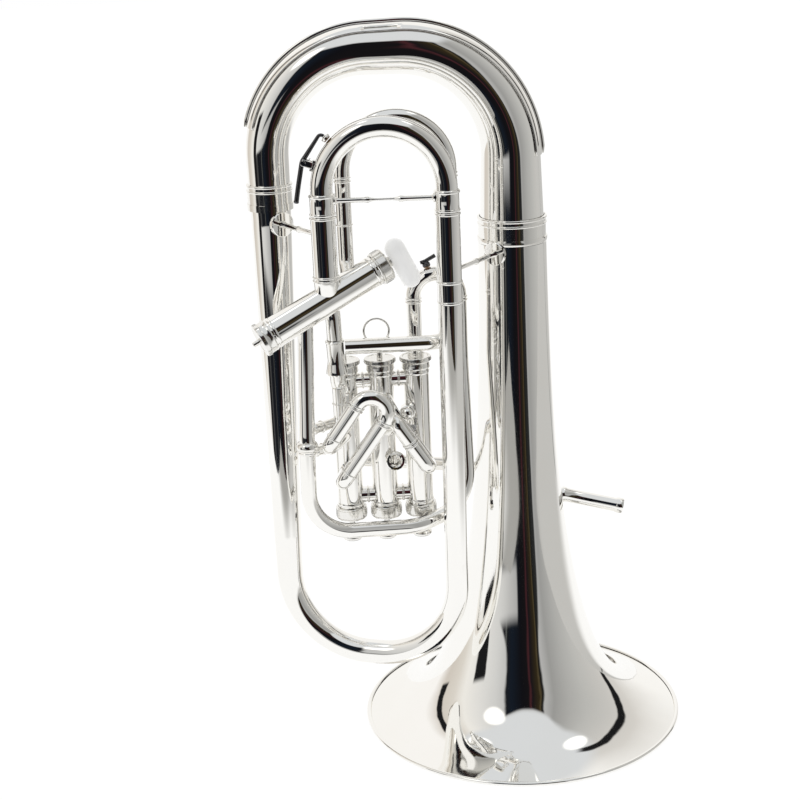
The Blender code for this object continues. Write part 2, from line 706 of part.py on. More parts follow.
def build_valve_tubes():
    height = VALVE_BASE_Z - 0.0200
    posts = [Vector((x, VALVE_Y, height)) for x in VALVE_XS]
    for i in (0, 1):
        name = "valve{}_valve{}_knuckle".format(i + 1, i + 2)
        link = as_mesh(tube(name, [posts[i], posts[i + 1]], 0.0072, SILVER, PIPE_SIDES, WALL))
        cut(link, VALVE_CUTTERS[i], VALVE_CUTTERS[i + 1])

    start = valve4_point(-0.1670)
    corners = [start, *OUTLET_CORNERS, (VALVE_XS[0], VALVE_Y, OUTLET_ENTRY_Z)]
    points = route(corners, (0.015, 0.013))
    outlet = as_mesh(tube("valve4_outlet", points, PIPE_R, SILVER, PIPE_SIDES, WALL))
    cut(outlet, VALVE_CUTTERS[3], VALVE_CUTTERS[0])

    corners = [
        (OUTLET_SKIN_X + PIPE_R, CROSS_Y, CROSS_Z + 0.0005),
        (-0.0780, -0.0640, CROSS_Z - 0.0015),
        at(SLIDE4_RIGHT, CROSS_Z - 0.0020),
        at(SLIDE4_RIGHT, SLIDE4_SLEEVE_Z),
    ]
    tube("cross_tube", route(corners, (0.02, 0.012)), PIPE_R, SILVER, PIPE_SIDES, WALL)

    entry = valve4_point(SLIDE4_LEFT.x + 0.0010)
    corners = [at(SLIDE4_LEFT, SLIDE4_SLEEVE_Z), at(SLIDE4_LEFT, entry.z + 0.0170), entry]
    points = route(corners, (PIPE_BEND,))
    sleeve = as_mesh(tube("valve4_slide_sleeve", points, PIPE_R, SILVER, PIPE_SIDES, WALL))
    cut(sleeve, VALVE_CUTTERS[3])

    top = Vector((SLIDE3_RIGHT.x, SLIDE3_RIGHT.y, SLIDE3_SLEEVE_Z))
    corners = [
        top,
        top - UP * (SLIDE3_LEG_DEPTH + 0.0100),
        (SLIDE3_RIGHT.x, RETURN_REAR_Y - PIPE_R, RETURN_Z + 0.0030),
        (-0.0990, RETURN_FRONT_Y - PIPE_R, RETURN_Z - 0.0070),
        (-0.1958, -0.0890, RETURN_Z),
        (-0.1942, -0.0915, 0.3210),
        valve4_point(-0.1890),
    ]
    points = route(corners, (0.05, 0.040, 0.06, 0.040, 0.05))
    back = as_mesh(tube("return_tube", points, PIPE_R, SILVER, PIPE_SIDES, WALL))
    cut(back, VALVE_CUTTERS[3])

    corners = [at(SLIDE3_LEFT, SLIDE3_SLEEVE_Z), at(SLIDE3_LEFT, 0.3440), (VALVE_XS[2], VALVE_Y, 0.3300)]
    points = route(corners, (PIPE_BEND,))
    sleeve = as_mesh(tube("third_slide_sleeve", points, PIPE_R, SILVER, PIPE_SIDES, WALL))
    cut(sleeve, VALVE_CUTTERS[2])


def stepped_slide(name, mouth_left, mouth_right, out, top_reach, depth, bend, material):
    """A crook on two thinner legs: the mouths are where the legs enter their sleeves."""
    lift = out * GAP
    tips = [mouth_left - out * depth, mouth_right - out * depth]
    crown = [mouth_left + out * top_reach, mouth_right + out * top_reach]
    inner = [mouth_left + lift, mouth_right + lift]
    arc = route([inner[0], crown[0], crown[1], inner[1]], (bend, bend), 5)
    points = [tips[0], mouth_left + lift * 0.9, *arc, mouth_right + lift * 0.9, tips[1]]
    radii = [SMALL_LEG_R] * 2 + [PIPE_R] * len(arc) + [SMALL_LEG_R] * 2
    return tube(name, points, radii, material, PIPE_SIDES)


def build_small_slides():
    half4 = (SLIDE4_RIGHT.x - SLIDE4_LEFT.x) / 2
    mouths = at(SLIDE4_LEFT, SLIDE4_SLEEVE_Z), at(SLIDE4_RIGHT, SLIDE4_SLEEVE_Z)
    reach = SLIDE4_TOP_Z - SLIDE4_SLEEVE_Z
    crook = stepped_slide("valve4_slide", *mouths, UP, reach, SLIDE4_LEG_DEPTH, half4 - 1e-5, SILVER)
    ride(joint_empty("valve4_slide_axis", mouths[0]), crook)

    half3 = (SLIDE3_RIGHT.x - SLIDE3_LEFT.x) / 2
    mouths = at(SLIDE3_LEFT, SLIDE3_SLEEVE_Z), at(SLIDE3_RIGHT, SLIDE3_SLEEVE_Z)
    reach = SLIDE3_TOP_Z - SLIDE3_SLEEVE_Z
    third = stepped_slide("third_slide", *mouths, UP, reach, SLIDE3_LEG_DEPTH, half3 - 1e-5, SILVER)
    slide_axis = joint_empty("third_slide_axis", mouths[0])
    crown = Vector(((SLIDE3_LEFT.x + SLIDE3_RIGHT.x) / 2, SLIDE3_LEFT.y, SLIDE3_TOP_Z - half3))
    slope = math.radians(THIRD_PAD_SLOPE)
    outward = Vector((math.cos(slope), 0, math.sin(slope)))
    pad = crown + outward * (half3 + PIPE_R + 2 * GAP)
    top = pad + outward * 0.0056
    pivot = top + Vector((-0.0045, 0, -0.0014))
    tail = top + Vector((0.0090, 0, 0.0048))
    lever = as_mesh(tube("third_key_lever", [pivot, top, tail], KEY_WIRE_R, DARK, 8))
    disc = round_cutter("third_key_pad", pad, top, KEY_PAD_R, 12)
    combine(lever, disc, "UNION")
    ride(slide_axis, third)
    key_axis = joint_empty("third_key_axis", pivot)
    ride(slide_axis, key_axis)
    ride(key_axis, lever)

    out = Vector((math.sin(SLIDE1_LEAN), 0, math.cos(SLIDE1_LEAN)))
    side = Vector((out.z, 0, -out.x))
    upper = SLIDE1_MOUTH - side * SLIDE1_HALF
    lower = SLIDE1_MOUTH + side * SLIDE1_HALF
    reach = SLIDE1_HALF + 0.0020
    bend = SLIDE1_HALF - 1e-5
    first = stepped_slide("first_slide", upper, lower, out, reach, SLIDE1_LEG_DEPTH, bend, SILVER)
    ride(joint_empty("first_slide_axis", SLIDE1_MOUTH), first)
    for name, mouth, run in (("upper", upper, SLIDE1_UPPER_LENGTH), ("lower", lower, SLIDE1_LOWER_LENGTH)):
        turn = mouth - out * (run + 0.0040)
        entry = Vector((VALVE_XS[0], VALVE_Y, turn.z - 0.0020))
        points = route([mouth, turn, entry], (0.0080,))
        sleeve = as_mesh(tube("first_slide_sleeve_" + name, points, PIPE_R, SILVER, PIPE_SIDES, WALL))
        cut(sleeve, VALVE_CUTTERS[0])

    out = Vector((math.sin(SLIDE2_LEAN), 0, -math.cos(SLIDE2_LEAN)))
    front = SLIDE2_MOUTH - Vector((0, SLIDE2_HALF, 0))
    rear = SLIDE2_MOUTH + Vector((0, SLIDE2_HALF, 0))
    bend = SLIDE2_HALF - 1e-5
    second = stepped_slide("second_slide", front, rear, out, SLIDE2_REACH, SLIDE2_LEG_DEPTH, bend, SILVER)
    ride(joint_empty("second_slide_axis", SLIDE2_MOUTH), second)
    sleeves = (
        ("front", front, SLIDE2_FRONT_LENGTH, SLIDE2_FRONT_RISE),
        ("rear", rear, SLIDE2_REAR_LENGTH, SLIDE2_REAR_RISE),
    )
    for name, mouth, run, rise in sleeves:
        turn = mouth - out * (run + 0.0040)
        entry = Vector((VALVE_XS[1], VALVE_Y, turn.z + rise))
        points = route([mouth, turn, entry], (0.0070,))
        sleeve = as_mesh(tube("second_slide_sleeve_" + name, points, PIPE_R, SILVER, PIPE_SIDES, WALL))
        cut(sleeve, VALVE_CUTTERS[1])


def build_leadpipe():
    axis = (RECEIVER_END - RECEIVER_START).normalized()
    entry = VALVE_BASE_Z - VALVE_LENGTH + LEADPIPE_ENTRY_RISE
    corners = [
        RECEIVER_START - axis * GAP,
        RECEIVER_START - axis * 0.0120,
        (0.0100, 0.0600, 0.2150),
        (-0.0450, 0.0540, 0.2350),
        (VALVE_XS[0], 0.0180, entry - 0.0080),
        (VALVE_XS[0], VALVE_Y, entry),
    ]
    points = route(corners, (0.015, 0.030, 0.040, 0.022))
    pipe = as_mesh(tube("leadpipe", points, taper(points, 0.0062, PIPE_R), SILVER, PIPE_SIDES, WALL))
    cut(pipe, VALVE_CUTTERS[0])
    length = (RECEIVER_END - RECEIVER_START).length
    profile = [
        (RECEIVER_END_R - 0.0005, length),
        (RECEIVER_END_R, length - 0.0010),
        (RECEIVER_END_R, length - 0.0040),
        (RECEIVER_R, length - 0.0055),
        (RECEIVER_R, 0.0050),
        (RECEIVER_R + 0.0004, 0.0040),
        (RECEIVER_R + 0.0004, 0.0),
        (RECEIVER_BORE_R - 0.0010, 0.0),
        (RECEIVER_BORE_R, length),
    ]
    turned("mouthpiece_receiver", profile, SILVER, along(RECEIVER_START, axis), closed=True, steps=16)


def build_pull_ring():
    bpy.ops.mesh.primitive_torus_add(
        major_radius=PULL_RING_R,
        minor_radius=PULL_WIRE_R,
        major_segments=20,
        minor_segments=6,
        location=(-0.1285, CROSS_Y + 0.0015 + PIPE_R + GAP + PULL_WIRE_R, CROSS_Z + 0.0105),
        rotation=(math.pi / 2, 0, 0),
    )
    ring = bpy.context.object
    ring.name = "pull_ring"
    ring.data.materials.append(SILVER)
    for collection in list(ring.users_collection):
        collection.objects.unlink(ring)
    PARTS.objects.link(ring)


def build_braces():
    post = at(BRANCH_TOP, BRACE_LEFT_Z)
    end = at(SLIDE_LEFT, BRACE_LEFT_Z)
    brace("brace_left", post, end, BOW_BRANCH_R + GAP, SLIDE_SLEEVE_R + GAP, BRACE_LEFT_FOOT_R)
    post = Vector((0, 0, BRACE_RIGHT_Z))
    end = at(SLIDE_RIGHT, BRACE_RIGHT_Z)
    brace("brace_right", post, end, BRACE_BELL_R + GAP, SLIDE_SLEEVE_R + GAP, BRACE_RIGHT_FOOT_R)


def brace(name, big, small, big_r, small_r, flange_r):
    reach = (small - big).normalized()
    rod = as_mesh(tube(name, [big, small], 0.0023, SILVER, 10))
    inside = big + reach * (big_r - 0.0035)
    outside = big + reach * (big_r + 0.0015)
    disc = round_cutter(name + "_flange", inside, outside, flange_r, 16)
    combine(rod, disc, "UNION")
    tall = UP * 0.05
    cut(
        rod,
        round_cutter(name + "_big", big - tall, big + tall, big_r, 32),
        round_cutter(name + "_small", small - tall, small + tall, small_r, 24),
    )


empty_the_scene()
PARTS = new_collection("euphonium")
CUTTERS = new_collection("cutters")
SILVER = new_material("silver_plate", (0.90, 0.89, 0.86), 0.06, 1.0)
CAP_SILVER = new_material("cap_silver", (0.86, 0.85, 0.82), 0.18, 1.0)
PISTON_METAL = new_material("piston_alloy", (0.62, 0.61, 0.58), 0.22, 1.0)
PEARL = new_material("pearl", (0.88, 0.87, 0.84), 0.25, 0.0)
STEEL = new_material("spring_steel", (0.55, 0.55, 0.56), 0.30, 1.0)
DARK = new_material("key_lever_steel", (0.20, 0.20, 0.21), 0.20, 1.0)
VALVE_CUTTERS = []
for number, x in enumerate(VALVE_XS, 1):
    base = Vector((x, VALVE_Y, VALVE_BASE_Z))
    VALVE_CUTTERS.append(
        round_cutter("valve{}_space".format(number), base, base - UP * VALVE_LENGTH, VALVE_R + GAP)
    )
VALVE_CUTTERS.append(round_cutter("valve4_space", VALVE4_BASE, VALVE4_TIP, VALVE4_R + GAP))
build_bell()
build_main_bow()
build_branch()
build_tuning_slide()
build_valves()
build_valve4()
build_valve_tubes()
build_small_slides()
build_leadpipe()
build_pull_ring()
build_braces()
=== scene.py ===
"""Finished look of a compensating euphonium that stands on its bell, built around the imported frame.

Metres, +Z up, the bell's axis on Z. The tubing lies to -X of the bell and the valves on its -Y side.
"""

import math

import bpy
from mathutils import Matrix, Vector


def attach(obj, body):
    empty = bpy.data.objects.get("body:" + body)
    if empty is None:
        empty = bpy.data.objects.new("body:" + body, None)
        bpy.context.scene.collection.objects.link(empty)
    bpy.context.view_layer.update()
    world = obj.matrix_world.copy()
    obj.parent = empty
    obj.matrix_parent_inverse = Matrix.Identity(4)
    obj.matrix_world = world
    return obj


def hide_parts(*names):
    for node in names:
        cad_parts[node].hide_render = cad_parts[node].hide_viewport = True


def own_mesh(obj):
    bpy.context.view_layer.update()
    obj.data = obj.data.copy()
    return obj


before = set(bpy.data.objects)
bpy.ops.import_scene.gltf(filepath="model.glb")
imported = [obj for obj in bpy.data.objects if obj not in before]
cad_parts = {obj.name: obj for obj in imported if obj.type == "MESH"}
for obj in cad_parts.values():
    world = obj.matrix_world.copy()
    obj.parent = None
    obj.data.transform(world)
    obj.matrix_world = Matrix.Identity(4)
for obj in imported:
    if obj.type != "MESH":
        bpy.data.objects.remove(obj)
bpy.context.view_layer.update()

UP = Vector((0, 0, 1))
DEPTH = Vector((0, 1, 0))
HORN = "body_of_horn"
WALL = 0.0009

# Bell
BELL_RIM_R = 0.1498
BELL_BEAD_R = 0.0022
BELL_TOP_Z = 0.4780
BELL_THROAT_R = 0.0290
BELL_FLARE_R = 0.0740
BELL_FLARE_Z = 0.1250
BELL_LIP_Z = 0.0164
BELL_SHOULDER_Z = 0.4660

# Main bow and guard
BOW_TOP_Z = 0.6398
BOW_BELL_R = 0.0290
BOW_BRANCH_R = 0.0187
BOW_WAIST = 0.0064
BRANCH_TOP = Vector((-0.2135, 0.0, 0.5180))
BRANCH_FOOT = Vector((-0.2170, -0.0280, 0.1820))
BRANCH_FOOT_R = 0.0120
BOTTOM_BOW_Z = 0.0960
LEG_FOOT = Vector((-0.0670, -0.0780, 0.1920))
LEG_FOOT_R = 0.0100
LEG_TOP_Z = 0.4330
LEG_TOP_R = 0.0106

# Main tuning slide
SLIDE_RIGHT = Vector((-0.0655, -0.0830, 0.0))
SLIDE_LEFT = Vector((-0.1697, -0.0740, 0.0))
SLEEVE_R = 0.0106
SLEEVE_TOP_Z = 0.5120
CROOK_R = 0.0094
CROOK_Z = 0.5850
MOUTH_Z = 0.5305
BRACE_Z = 0.5246

# Stays
BRACE_LEFT_Z = 0.4950
BRACE_LEFT_FOOT_R = 0.0110
BRACE_RIGHT_Z = 0.4600
BRACE_RIGHT_FOOT_R = 0.0105
BRACE_BELL_R = 0.0312

# Valves
VALVE_XS = (-0.1577, -0.1261, -0.0945)
VALVE_Y = -0.0450
VALVE_BASE_Z = 0.3775
VALVE_LENGTH = 0.1485
VALVE_R = 0.0117
VALVE_CAP_R = 0.0142
VALVE_TRAVEL = 0.0155
VALVE4_BASE = Vector((-0.2291, -0.0866, 0.4101))
VALVE4_TIP = Vector((-0.1169, -0.0534, 0.4635))
VALVE4_R = 0.0134
VALVE4_CAP_R = 0.0152
CAP_SKIRT = 0.0110
CAP_DISH = 0.0008
CAP4_DISH = 0.0016
STEM_R = 0.0026
CASING_GRIP = 0.0007
GRIP_SHARE = 0.962
GRIP_DEPTH = 0.0004

# Small tubing
PIPE_R = 0.0068
LEG_R = 0.0053
LEG_FIT = 0.0004
LONG_LEG = 0.0450
LINK_R = 0.0070
SLIDE4_LEFT = Vector((-0.1510, -0.0450, 0.0))
SLIDE4_RIGHT = Vector((-0.0595, -0.0450, 0.0))
SLIDE4_MOUTH_Z = 0.5370
SLIDE4_REACH = 0.0510
SLIDE3_LEFT = Vector((-0.0920, -0.0150, 0.0))
SLIDE3_RIGHT = Vector((-0.0510, -0.0150, 0.0))
SLIDE3_MOUTH_Z = 0.4200
SLIDE3_REACH = 0.0230
SLIDE1_MOUTH = Vector((-0.1394, -0.0950, 0.3411))
SLIDE1_LEAN = 35.4
SLIDE1_HALF = 0.0140
SLIDE1_REACH = 0.0160
SLIDE1_LEG = 0.0340
SLIDE1_UPPER_RUN = 0.0420
SLIDE1_LOWER_RUN = 0.0620
SLIDE2_MOUTH = Vector((-0.1040, -0.0780, 0.3100))
SLIDE2_LEAN = 32
SLIDE2_HALF = 0.0085
SLIDE2_REACH = 0.0290
SLIDE2_LEG = 0.0095
SLIDE2_FRONT = (0.0180, 0.0170)
SLIDE2_REAR = (0.0120, -0.0140)
RECEIVER_START = Vector((0.0480, 0.0400, 0.2040))
RECEIVER_END = Vector((0.1065, 0.0300, 0.1910))

# Studio
FLOOR_EDGE_Y = -1.22
FLOOR_EDGE_LEAN = 0.45
LAMPS = ((-46, 46, 6.0), (-100, 70, 3.6), (98, 66, 3.6))


# ---------------------------------------------------------------- finishes


class Level:
    """A number in a node tree. Arithmetic on it adds the Math nodes."""

    def __init__(self, tree, socket):
        self.tree = tree
        self.socket = socket

    def apply(self, operation, first, second):
        node = self.tree.nodes.new("ShaderNodeMath")
        node.operation = operation
        for slot, value in zip(node.inputs, (first, second)):
            if isinstance(value, Level):
                self.tree.links.new(value.socket, slot)
            else:
                slot.default_value = value
        return Level(self.tree, node.outputs[0])

    def __add__(self, other):
        return self.apply("ADD", self, other)

    def __radd__(self, other):
        return self.apply("ADD", other, self)

    def __sub__(self, other):
        return self.apply("SUBTRACT", self, other)

    def __rsub__(self, other):
        return self.apply("SUBTRACT", other, self)

    def __mul__(self, other):
        return self.apply("MULTIPLY", self, other)

    def __rmul__(self, other):
        return self.apply("MULTIPLY", other, self)


class Nodes:
    """A node tree to write in: add() takes a node's type, its settings and what goes into its sockets."""

    def __init__(self, tree):
        self.tree = tree

    def add(self, kind, settings=None, **sockets):
        node = self.tree.nodes.new("ShaderNode" + kind)
        for key, value in (settings or {}).items():
            if key == "stops":
                self.set_stops(node.color_ramp, value)
            else:
                setattr(node, key, value)
        for key, value in sockets.items():
            self.feed(self.slot(node, key), value)
        return node

    def slot(self, node, key):
        wanted = key.replace("_", " ")
        usable = [s for s in node.inputs if s.enabled]
        return next(s for s in usable if s.name == wanted or s.identifier == key)

    def feed(self, slot, value):
        if isinstance(value, Level):
            value = value.socket
        if isinstance(value, bpy.types.NodeSocket):
            self.tree.links.new(value, slot)
        else:
            slot.default_value = value

    def set_stops(self, ramp, stops):
        while len(ramp.elements) < len(stops):
            ramp.elements.new(0.5)
        for element, (place, colour) in zip(ramp.elements, stops):
            element.position = place
            element.color = (*colour, 1)

    def level(self, node, output=0):
        return Level(self.tree, node.outputs[output])

    def noise(self, place, scale, detail=2.0, stretch=(1, 1, 1)):
        mapped = self.add("Mapping", Vector=place, Scale=stretch)
        node = self.add("TexNoise", Vector=mapped.outputs[0], Scale=scale, Detail=detail)
        return self.level(node, "Fac")

    def blend(self, amount, first, second):
        node = self.add("Mix", {"data_type": "RGBA"}, Factor_Float=amount, A_Color=first, B_Color=second)
        return node.outputs[2]

    def smooth(self, value, low, high):
        node = self.add(
            "MapRange", {"interpolation_type": "SMOOTHSTEP"}, Value=value, From_Min=low, From_Max=high
        )
        return self.level(node)


def new_finish(name, **uniform):
    material = bpy.data.materials.new(name)
    material.use_nodes = True
    nodes = Nodes(material.node_tree)
    shader = material.node_tree.nodes["Principled BSDF"]
    for key, value in uniform.items():
        shader.inputs[key.replace("_", " ")].default_value = value
    place = nodes.add("TexCoord").outputs["Object"]
    return material, nodes, shader, place


def plate(name, bright, dull, smooth_at, spread, wave, wave_scale=38.0):
    """Silver plate: colour and polish drift over it, and its surface is very slightly uneven."""
    material, nodes, shader, place = new_finish(name, Metallic=1.0)
    drift = nodes.noise(place, 14.0, 3.0)
    wipe = nodes.noise(place, 160.0, 3.0, (1, 1, 0.16))
    nodes.feed(shader.inputs["Base Color"], nodes.blend(drift, (*bright, 1), (*dull, 1)))
    nodes.feed(shader.inputs["Roughness"], smooth_at + drift * spread * 0.6 + wipe * spread)
    ripple = nodes.noise(place, wave_scale, 1.0, (1, 1, 0.35))
    bump = nodes.add("Bump", Strength=1.0, Distance=wave, Height=ripple)
    nodes.feed(shader.inputs["Normal"], bump.outputs[0])
    return material


def brushed(name, light, dark, rough):
    """Plain worked metal with fine lines round it."""
    material, nodes, shader, place = new_finish(name, Metallic=1.0)
    lines = nodes.noise(place, 900.0, 2.0, (1, 1, 0.05))
    cloud = nodes.noise(place, 60.0, 3.0)
    nodes.feed(shader.inputs["Base Color"], nodes.blend(cloud, (*light, 1), (*dark, 1)))
    nodes.feed(shader.inputs["Roughness"], rough + lines * 0.14)
    bump = nodes.add("Bump", Strength=0.25, Distance=0.00008, Height=lines)
    nodes.feed(shader.inputs["Normal"], bump.outputs[0])
    return material


def shell_pearl(name):
    """Mother-of-pearl: pale, with soft folded clouds of warm and cool."""
    material, nodes, shader, place = new_finish(name, Coat_Weight=0.6, Coat_Roughness=0.06, IOR=1.55)
    fold = nodes.noise(place, 130.0, 3.0, (1, 2.2, 1))
    fine = nodes.noise(place, 420.0, 2.0)
    clouds = nodes.blend(fold, (0.93, 0.90, 0.84, 1), (0.74, 0.80, 0.83, 1))
    nodes.feed(shader.inputs["Base Color"], nodes.blend(fine * 0.35, clouds, (0.95, 0.88, 0.88, 1)))
    nodes.feed(shader.inputs["Roughness"], 0.16 + fine * 0.12)
    return material


def frosted(name):
    """Milky moulded plastic with a satin skin, and a painted glow: its emission brightens it as if light
    came through it.
    """
    material, nodes, shader, place = new_finish(name, IOR=1.45, Coat_Weight=0.25, Emission_Strength=0.42)
    cloud = nodes.noise(place, 90.0, 3.0)
    grain = nodes.noise(place, 1500.0, 2.0)
    nodes.feed(
        shader.inputs["Base Color"],
        nodes.blend(cloud, (0.90, 0.895, 0.88, 1), (0.78, 0.785, 0.79, 1)),
    )
    nodes.feed(shader.inputs["Roughness"], 0.24 + grain * 0.18)
    # Painted glow: this emission colour makes the roller shine though it is no lamp.
    nodes.feed(
        shader.inputs["Emission Color"],
        nodes.blend(cloud, (0.93, 0.93, 0.92, 1), (0.80, 0.80, 0.81, 1)),
    )
    bump = nodes.add("Bump", Strength=0.15, Distance=0.00005, Height=grain)
    nodes.feed(shader.inputs["Normal"], bump.outputs[0])
    return material


def fibrous(name, light, dark, scale):
    """Cork or felt."""
    material, nodes, shader, place = new_finish(name)
    fleck = nodes.noise(place, scale, 4.0)
    nodes.feed(shader.inputs["Base Color"], nodes.blend(fleck, (*light, 1), (*dark, 1)))
    nodes.feed(shader.inputs["Roughness"], 0.8 + fleck * 0.15)
    bump = nodes.add("Bump", Strength=0.6, Distance=0.0003, Height=fleck)
    nodes.feed(shader.inputs["Normal"], bump.outputs[0])
    return material


SILVER = plate("polished silver", (0.95, 0.945, 0.925), (0.91, 0.895, 0.86), 0.018, 0.022, 0.00012)
SOFT_SILVER = plate("ferrule silver", (0.93, 0.925, 0.90), (0.87, 0.85, 0.81), 0.05, 0.05, 0.00005, 90.0)
CAP_METAL = plate("knurled silver", (0.91, 0.905, 0.88), (0.80, 0.785, 0.75), 0.10, 0.08, 0.00004, 300.0)
PISTON_METAL = brushed("honed piston alloy", (0.78, 0.77, 0.74), (0.66, 0.65, 0.62), 0.16)
SPRING_METAL = brushed("spring wire", (0.62, 0.62, 0.63), (0.48, 0.48, 0.50), 0.22)
KEY_METAL = brushed("darkened lever", (0.13, 0.13, 0.135), (0.06, 0.06, 0.065), 0.14)
PEARL = shell_pearl("finger pearl")
ROLLER = frosted("frosted roller")
CORK = fibrous("key cork", (0.42, 0.27, 0.15), (0.22, 0.12, 0.06), 900.0)
FELT = fibrous("valve felt", (0.10, 0.09, 0.09), (0.03, 0.03, 0.035), 1600.0)


# ---------------------------------------------------------------- shaping


def start_clean():
    if bpy.context.mode != "OBJECT":
        bpy.ops.object.mode_set(mode="OBJECT")
    bpy.ops.object.select_all(action="DESELECT")


def take(obj):
    start_clean()
    obj.select_set(True)
    bpy.context.view_layer.objects.active = obj
    return obj


def settle(obj):
    """Bakes the object's place into its mesh."""
    take(obj)
    bpy.ops.object.transform_apply(location=True, rotation=True, scale=True)
    return obj


def tidy_mesh(obj, merge=2e-6):
    take(obj)
    bpy.ops.object.mode_set(mode="EDIT")
    bpy.ops.mesh.select_all(action="SELECT")
    bpy.ops.mesh.remove_doubles(threshold=merge)
    bpy.ops.mesh.normals_make_consistent(inside=False)
    bpy.ops.object.mode_set(mode="OBJECT")
    return obj


def along(start, direction):
    """Local Z points along direction from start."""
    turn = UP.rotation_difference(Vector(direction)).to_matrix().to_4x4()
    return Matrix.Translation(start) @ turn


def at(post, height):
    return Vector((post.x, post.y, height))


def route(corners, bends, steps=18):
    """Points along straight runs between corners, with an arc of the given radius at each inner corner."""
    corners = [Vector(corner) for corner in corners]
    points = [corners[0]]
    for before, corner, after, bend in zip(corners, corners[1:], corners[2:], bends):
        back = (before - corner).normalized()
        ahead = (after - corner).normalized()
        half = back.angle(ahead) / 2
        reach = bend / math.tan(half)
        centre = corner + (back + ahead).normalized() * bend / math.sin(half)
        first = corner + back * reach - centre
        last = corner + ahead * reach - centre
        sweep = first.angle(last)
        count = max(2, round(steps * sweep / (math.pi / 2)))
        for i in range(count + 1):
            part = i / count
            weights = math.sin((1 - part) * sweep), math.sin(part * sweep)
            points.append(centre + (first * weights[0] + last * weights[1]) / math.sin(sweep))
    points.append(corners[-1])
    return points


def lengths(points):
    total = [0.0]
    for a, b in zip(points, points[1:]):
        total.append(total[-1] + (b - a).length)
    return total


def taper(points, first, last):
    run = lengths(points)
    return [first + (last - first) * here / run[-1] for here in run]


def drawn_line(name, points, closed=False):
    """A curve object through the points."""
    start_clean()
    bpy.ops.curve.primitive_bezier_curve_add()
    obj = bpy.context.object
    obj.name = name
    obj.data.splines.clear()
    obj.data.dimensions = "3D"
    spline = obj.data.splines.new("POLY")
    spline.points.add(len(points) - 1)
    for point, place in zip(spline.points, points):
        point.co = (*place, 1)
    spline.use_cyclic_u = closed
    return obj


def piped(name, points, radii, sides=36, closed=False):
    """A round tube along the points, capped at its ends."""
    if not isinstance(radii, list):
        radii = [radii] * len(points)
    obj = drawn_line(name, points, closed)
    obj.data.bevel_depth = max(radii)
    obj.data.bevel_resolution = sides // 2 - 2
    obj.data.use_fill_caps = not closed
    for point, radius in zip(obj.data.splines[0].points, radii):
        point.radius = radius / obj.data.bevel_depth
    take(obj)
    bpy.ops.object.convert(target="MESH")
    tidy_mesh(obj)
    take(obj)
    bpy.ops.object.shade_smooth_by_angle(angle=math.radians(50))
    return settle(obj)


def turned(name, profile, where=None, steps=64, closed=False, angle=32):
    """A line of (radius, height) points turned about the local Z of where."""
    line = [Vector((max(radius, 1e-6), 0, height)) for radius, height in profile]
    obj = drawn_line(name, line, closed)
    take(obj)
    bpy.ops.object.convert(target="MESH")
    bpy.ops.object.modifier_add(type="SCREW")
    screw = obj.modifiers[-1]
    screw.steps = steps
    screw.render_steps = steps
    screw.use_merge_vertices = True
    screw.merge_threshold = 1e-6
    bpy.ops.object.modifier_apply(modifier=screw.name)
    tidy_mesh(obj, 4e-6)
    if where is not None:
        obj.matrix_world = where
    take(obj)
    bpy.ops.object.shade_smooth_by_angle(angle=math.radians(angle))
    return settle(obj)


def joined(name, *pieces):
    take(pieces[0])
    for other in pieces[1:]:
        other.select_set(True)
    bpy.ops.object.join()
    pieces[0].name = name
    return pieces[0]


def bored(obj, start, end, radius):
    """Takes a round bar of this radius out of the piece."""
    start_clean()
    bpy.ops.mesh.primitive_cylinder_add(vertices=96, radius=radius, depth=(end - start).length)
    bar = bpy.context.object
    bar.matrix_world = along((start + end) / 2, end - start)
    take(obj)
    bpy.ops.object.modifier_add(type="BOOLEAN")
    boolean = obj.modifiers[-1]
    boolean.operation = "DIFFERENCE"
    boolean.solver = "EXACT"
    boolean.object = bar
    bpy.ops.object.modifier_apply(modifier=boolean.name)
    take(bar)
    bpy.ops.object.delete()
    take(obj)
    bpy.ops.object.shade_smooth_by_angle(angle=math.radians(40))
    return obj


def bored_for_valve(obj, number):
    """Ends a tube inside a casing's wall."""
    if number == 4:
        return bored(obj, VALVE4_BASE, VALVE4_TIP, VALVE4_R - CASING_GRIP)
    base = Vector((VALVE_XS[number - 1], VALVE_Y, VALVE_BASE_Z))
    return bored(obj, base, base - UP * VALVE_LENGTH, VALVE_R - CASING_GRIP)


def block(name, centre, size, turn=None, bevel=0.0006):
    """A small forged lump: a cube brought to its size, with rounded edges."""
    start_clean()
    bpy.ops.mesh.primitive_cube_add(size=1)
    obj = bpy.context.object
    obj.name = name
    obj.scale = size
    bpy.ops.object.transform_apply(location=False, rotation=False, scale=True)
    bpy.ops.object.mode_set(mode="EDIT")
    bpy.ops.mesh.select_all(action="SELECT")
    bpy.ops.mesh.bevel(offset=bevel, segments=3, affect="EDGES")
    bpy.ops.object.mode_set(mode="OBJECT")
    obj.matrix_world = Matrix.Translation(centre) @ (turn or Matrix())
    take(obj)
    bpy.ops.object.shade_smooth_by_angle(angle=math.radians(40))
    return settle(obj)


def finished(obj, finish, body=HORN, nodes=()):
    obj.data.materials.clear()
    obj.data.materials.append(finish)
    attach(obj, body)
    if nodes:
        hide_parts(*nodes)
    return obj


def ring_line(outer, inner, bottom, top, beads=()):
    """A sleeve's section, closed. Each bead is (height, half width, rise), rounded over."""
    line = [(outer, top)]
    for height, half, rise in sorted(beads, reverse=True):
        for i in range(9):
            angle = math.pi * i / 8
            line.append((outer + rise * math.sin(angle), height + half * math.cos(angle)))
    line += [(outer, bottom), (inner, bottom), (inner, top)]
    return [p for i, p in enumerate(line) if i == 0 or p != line[i - 1]]


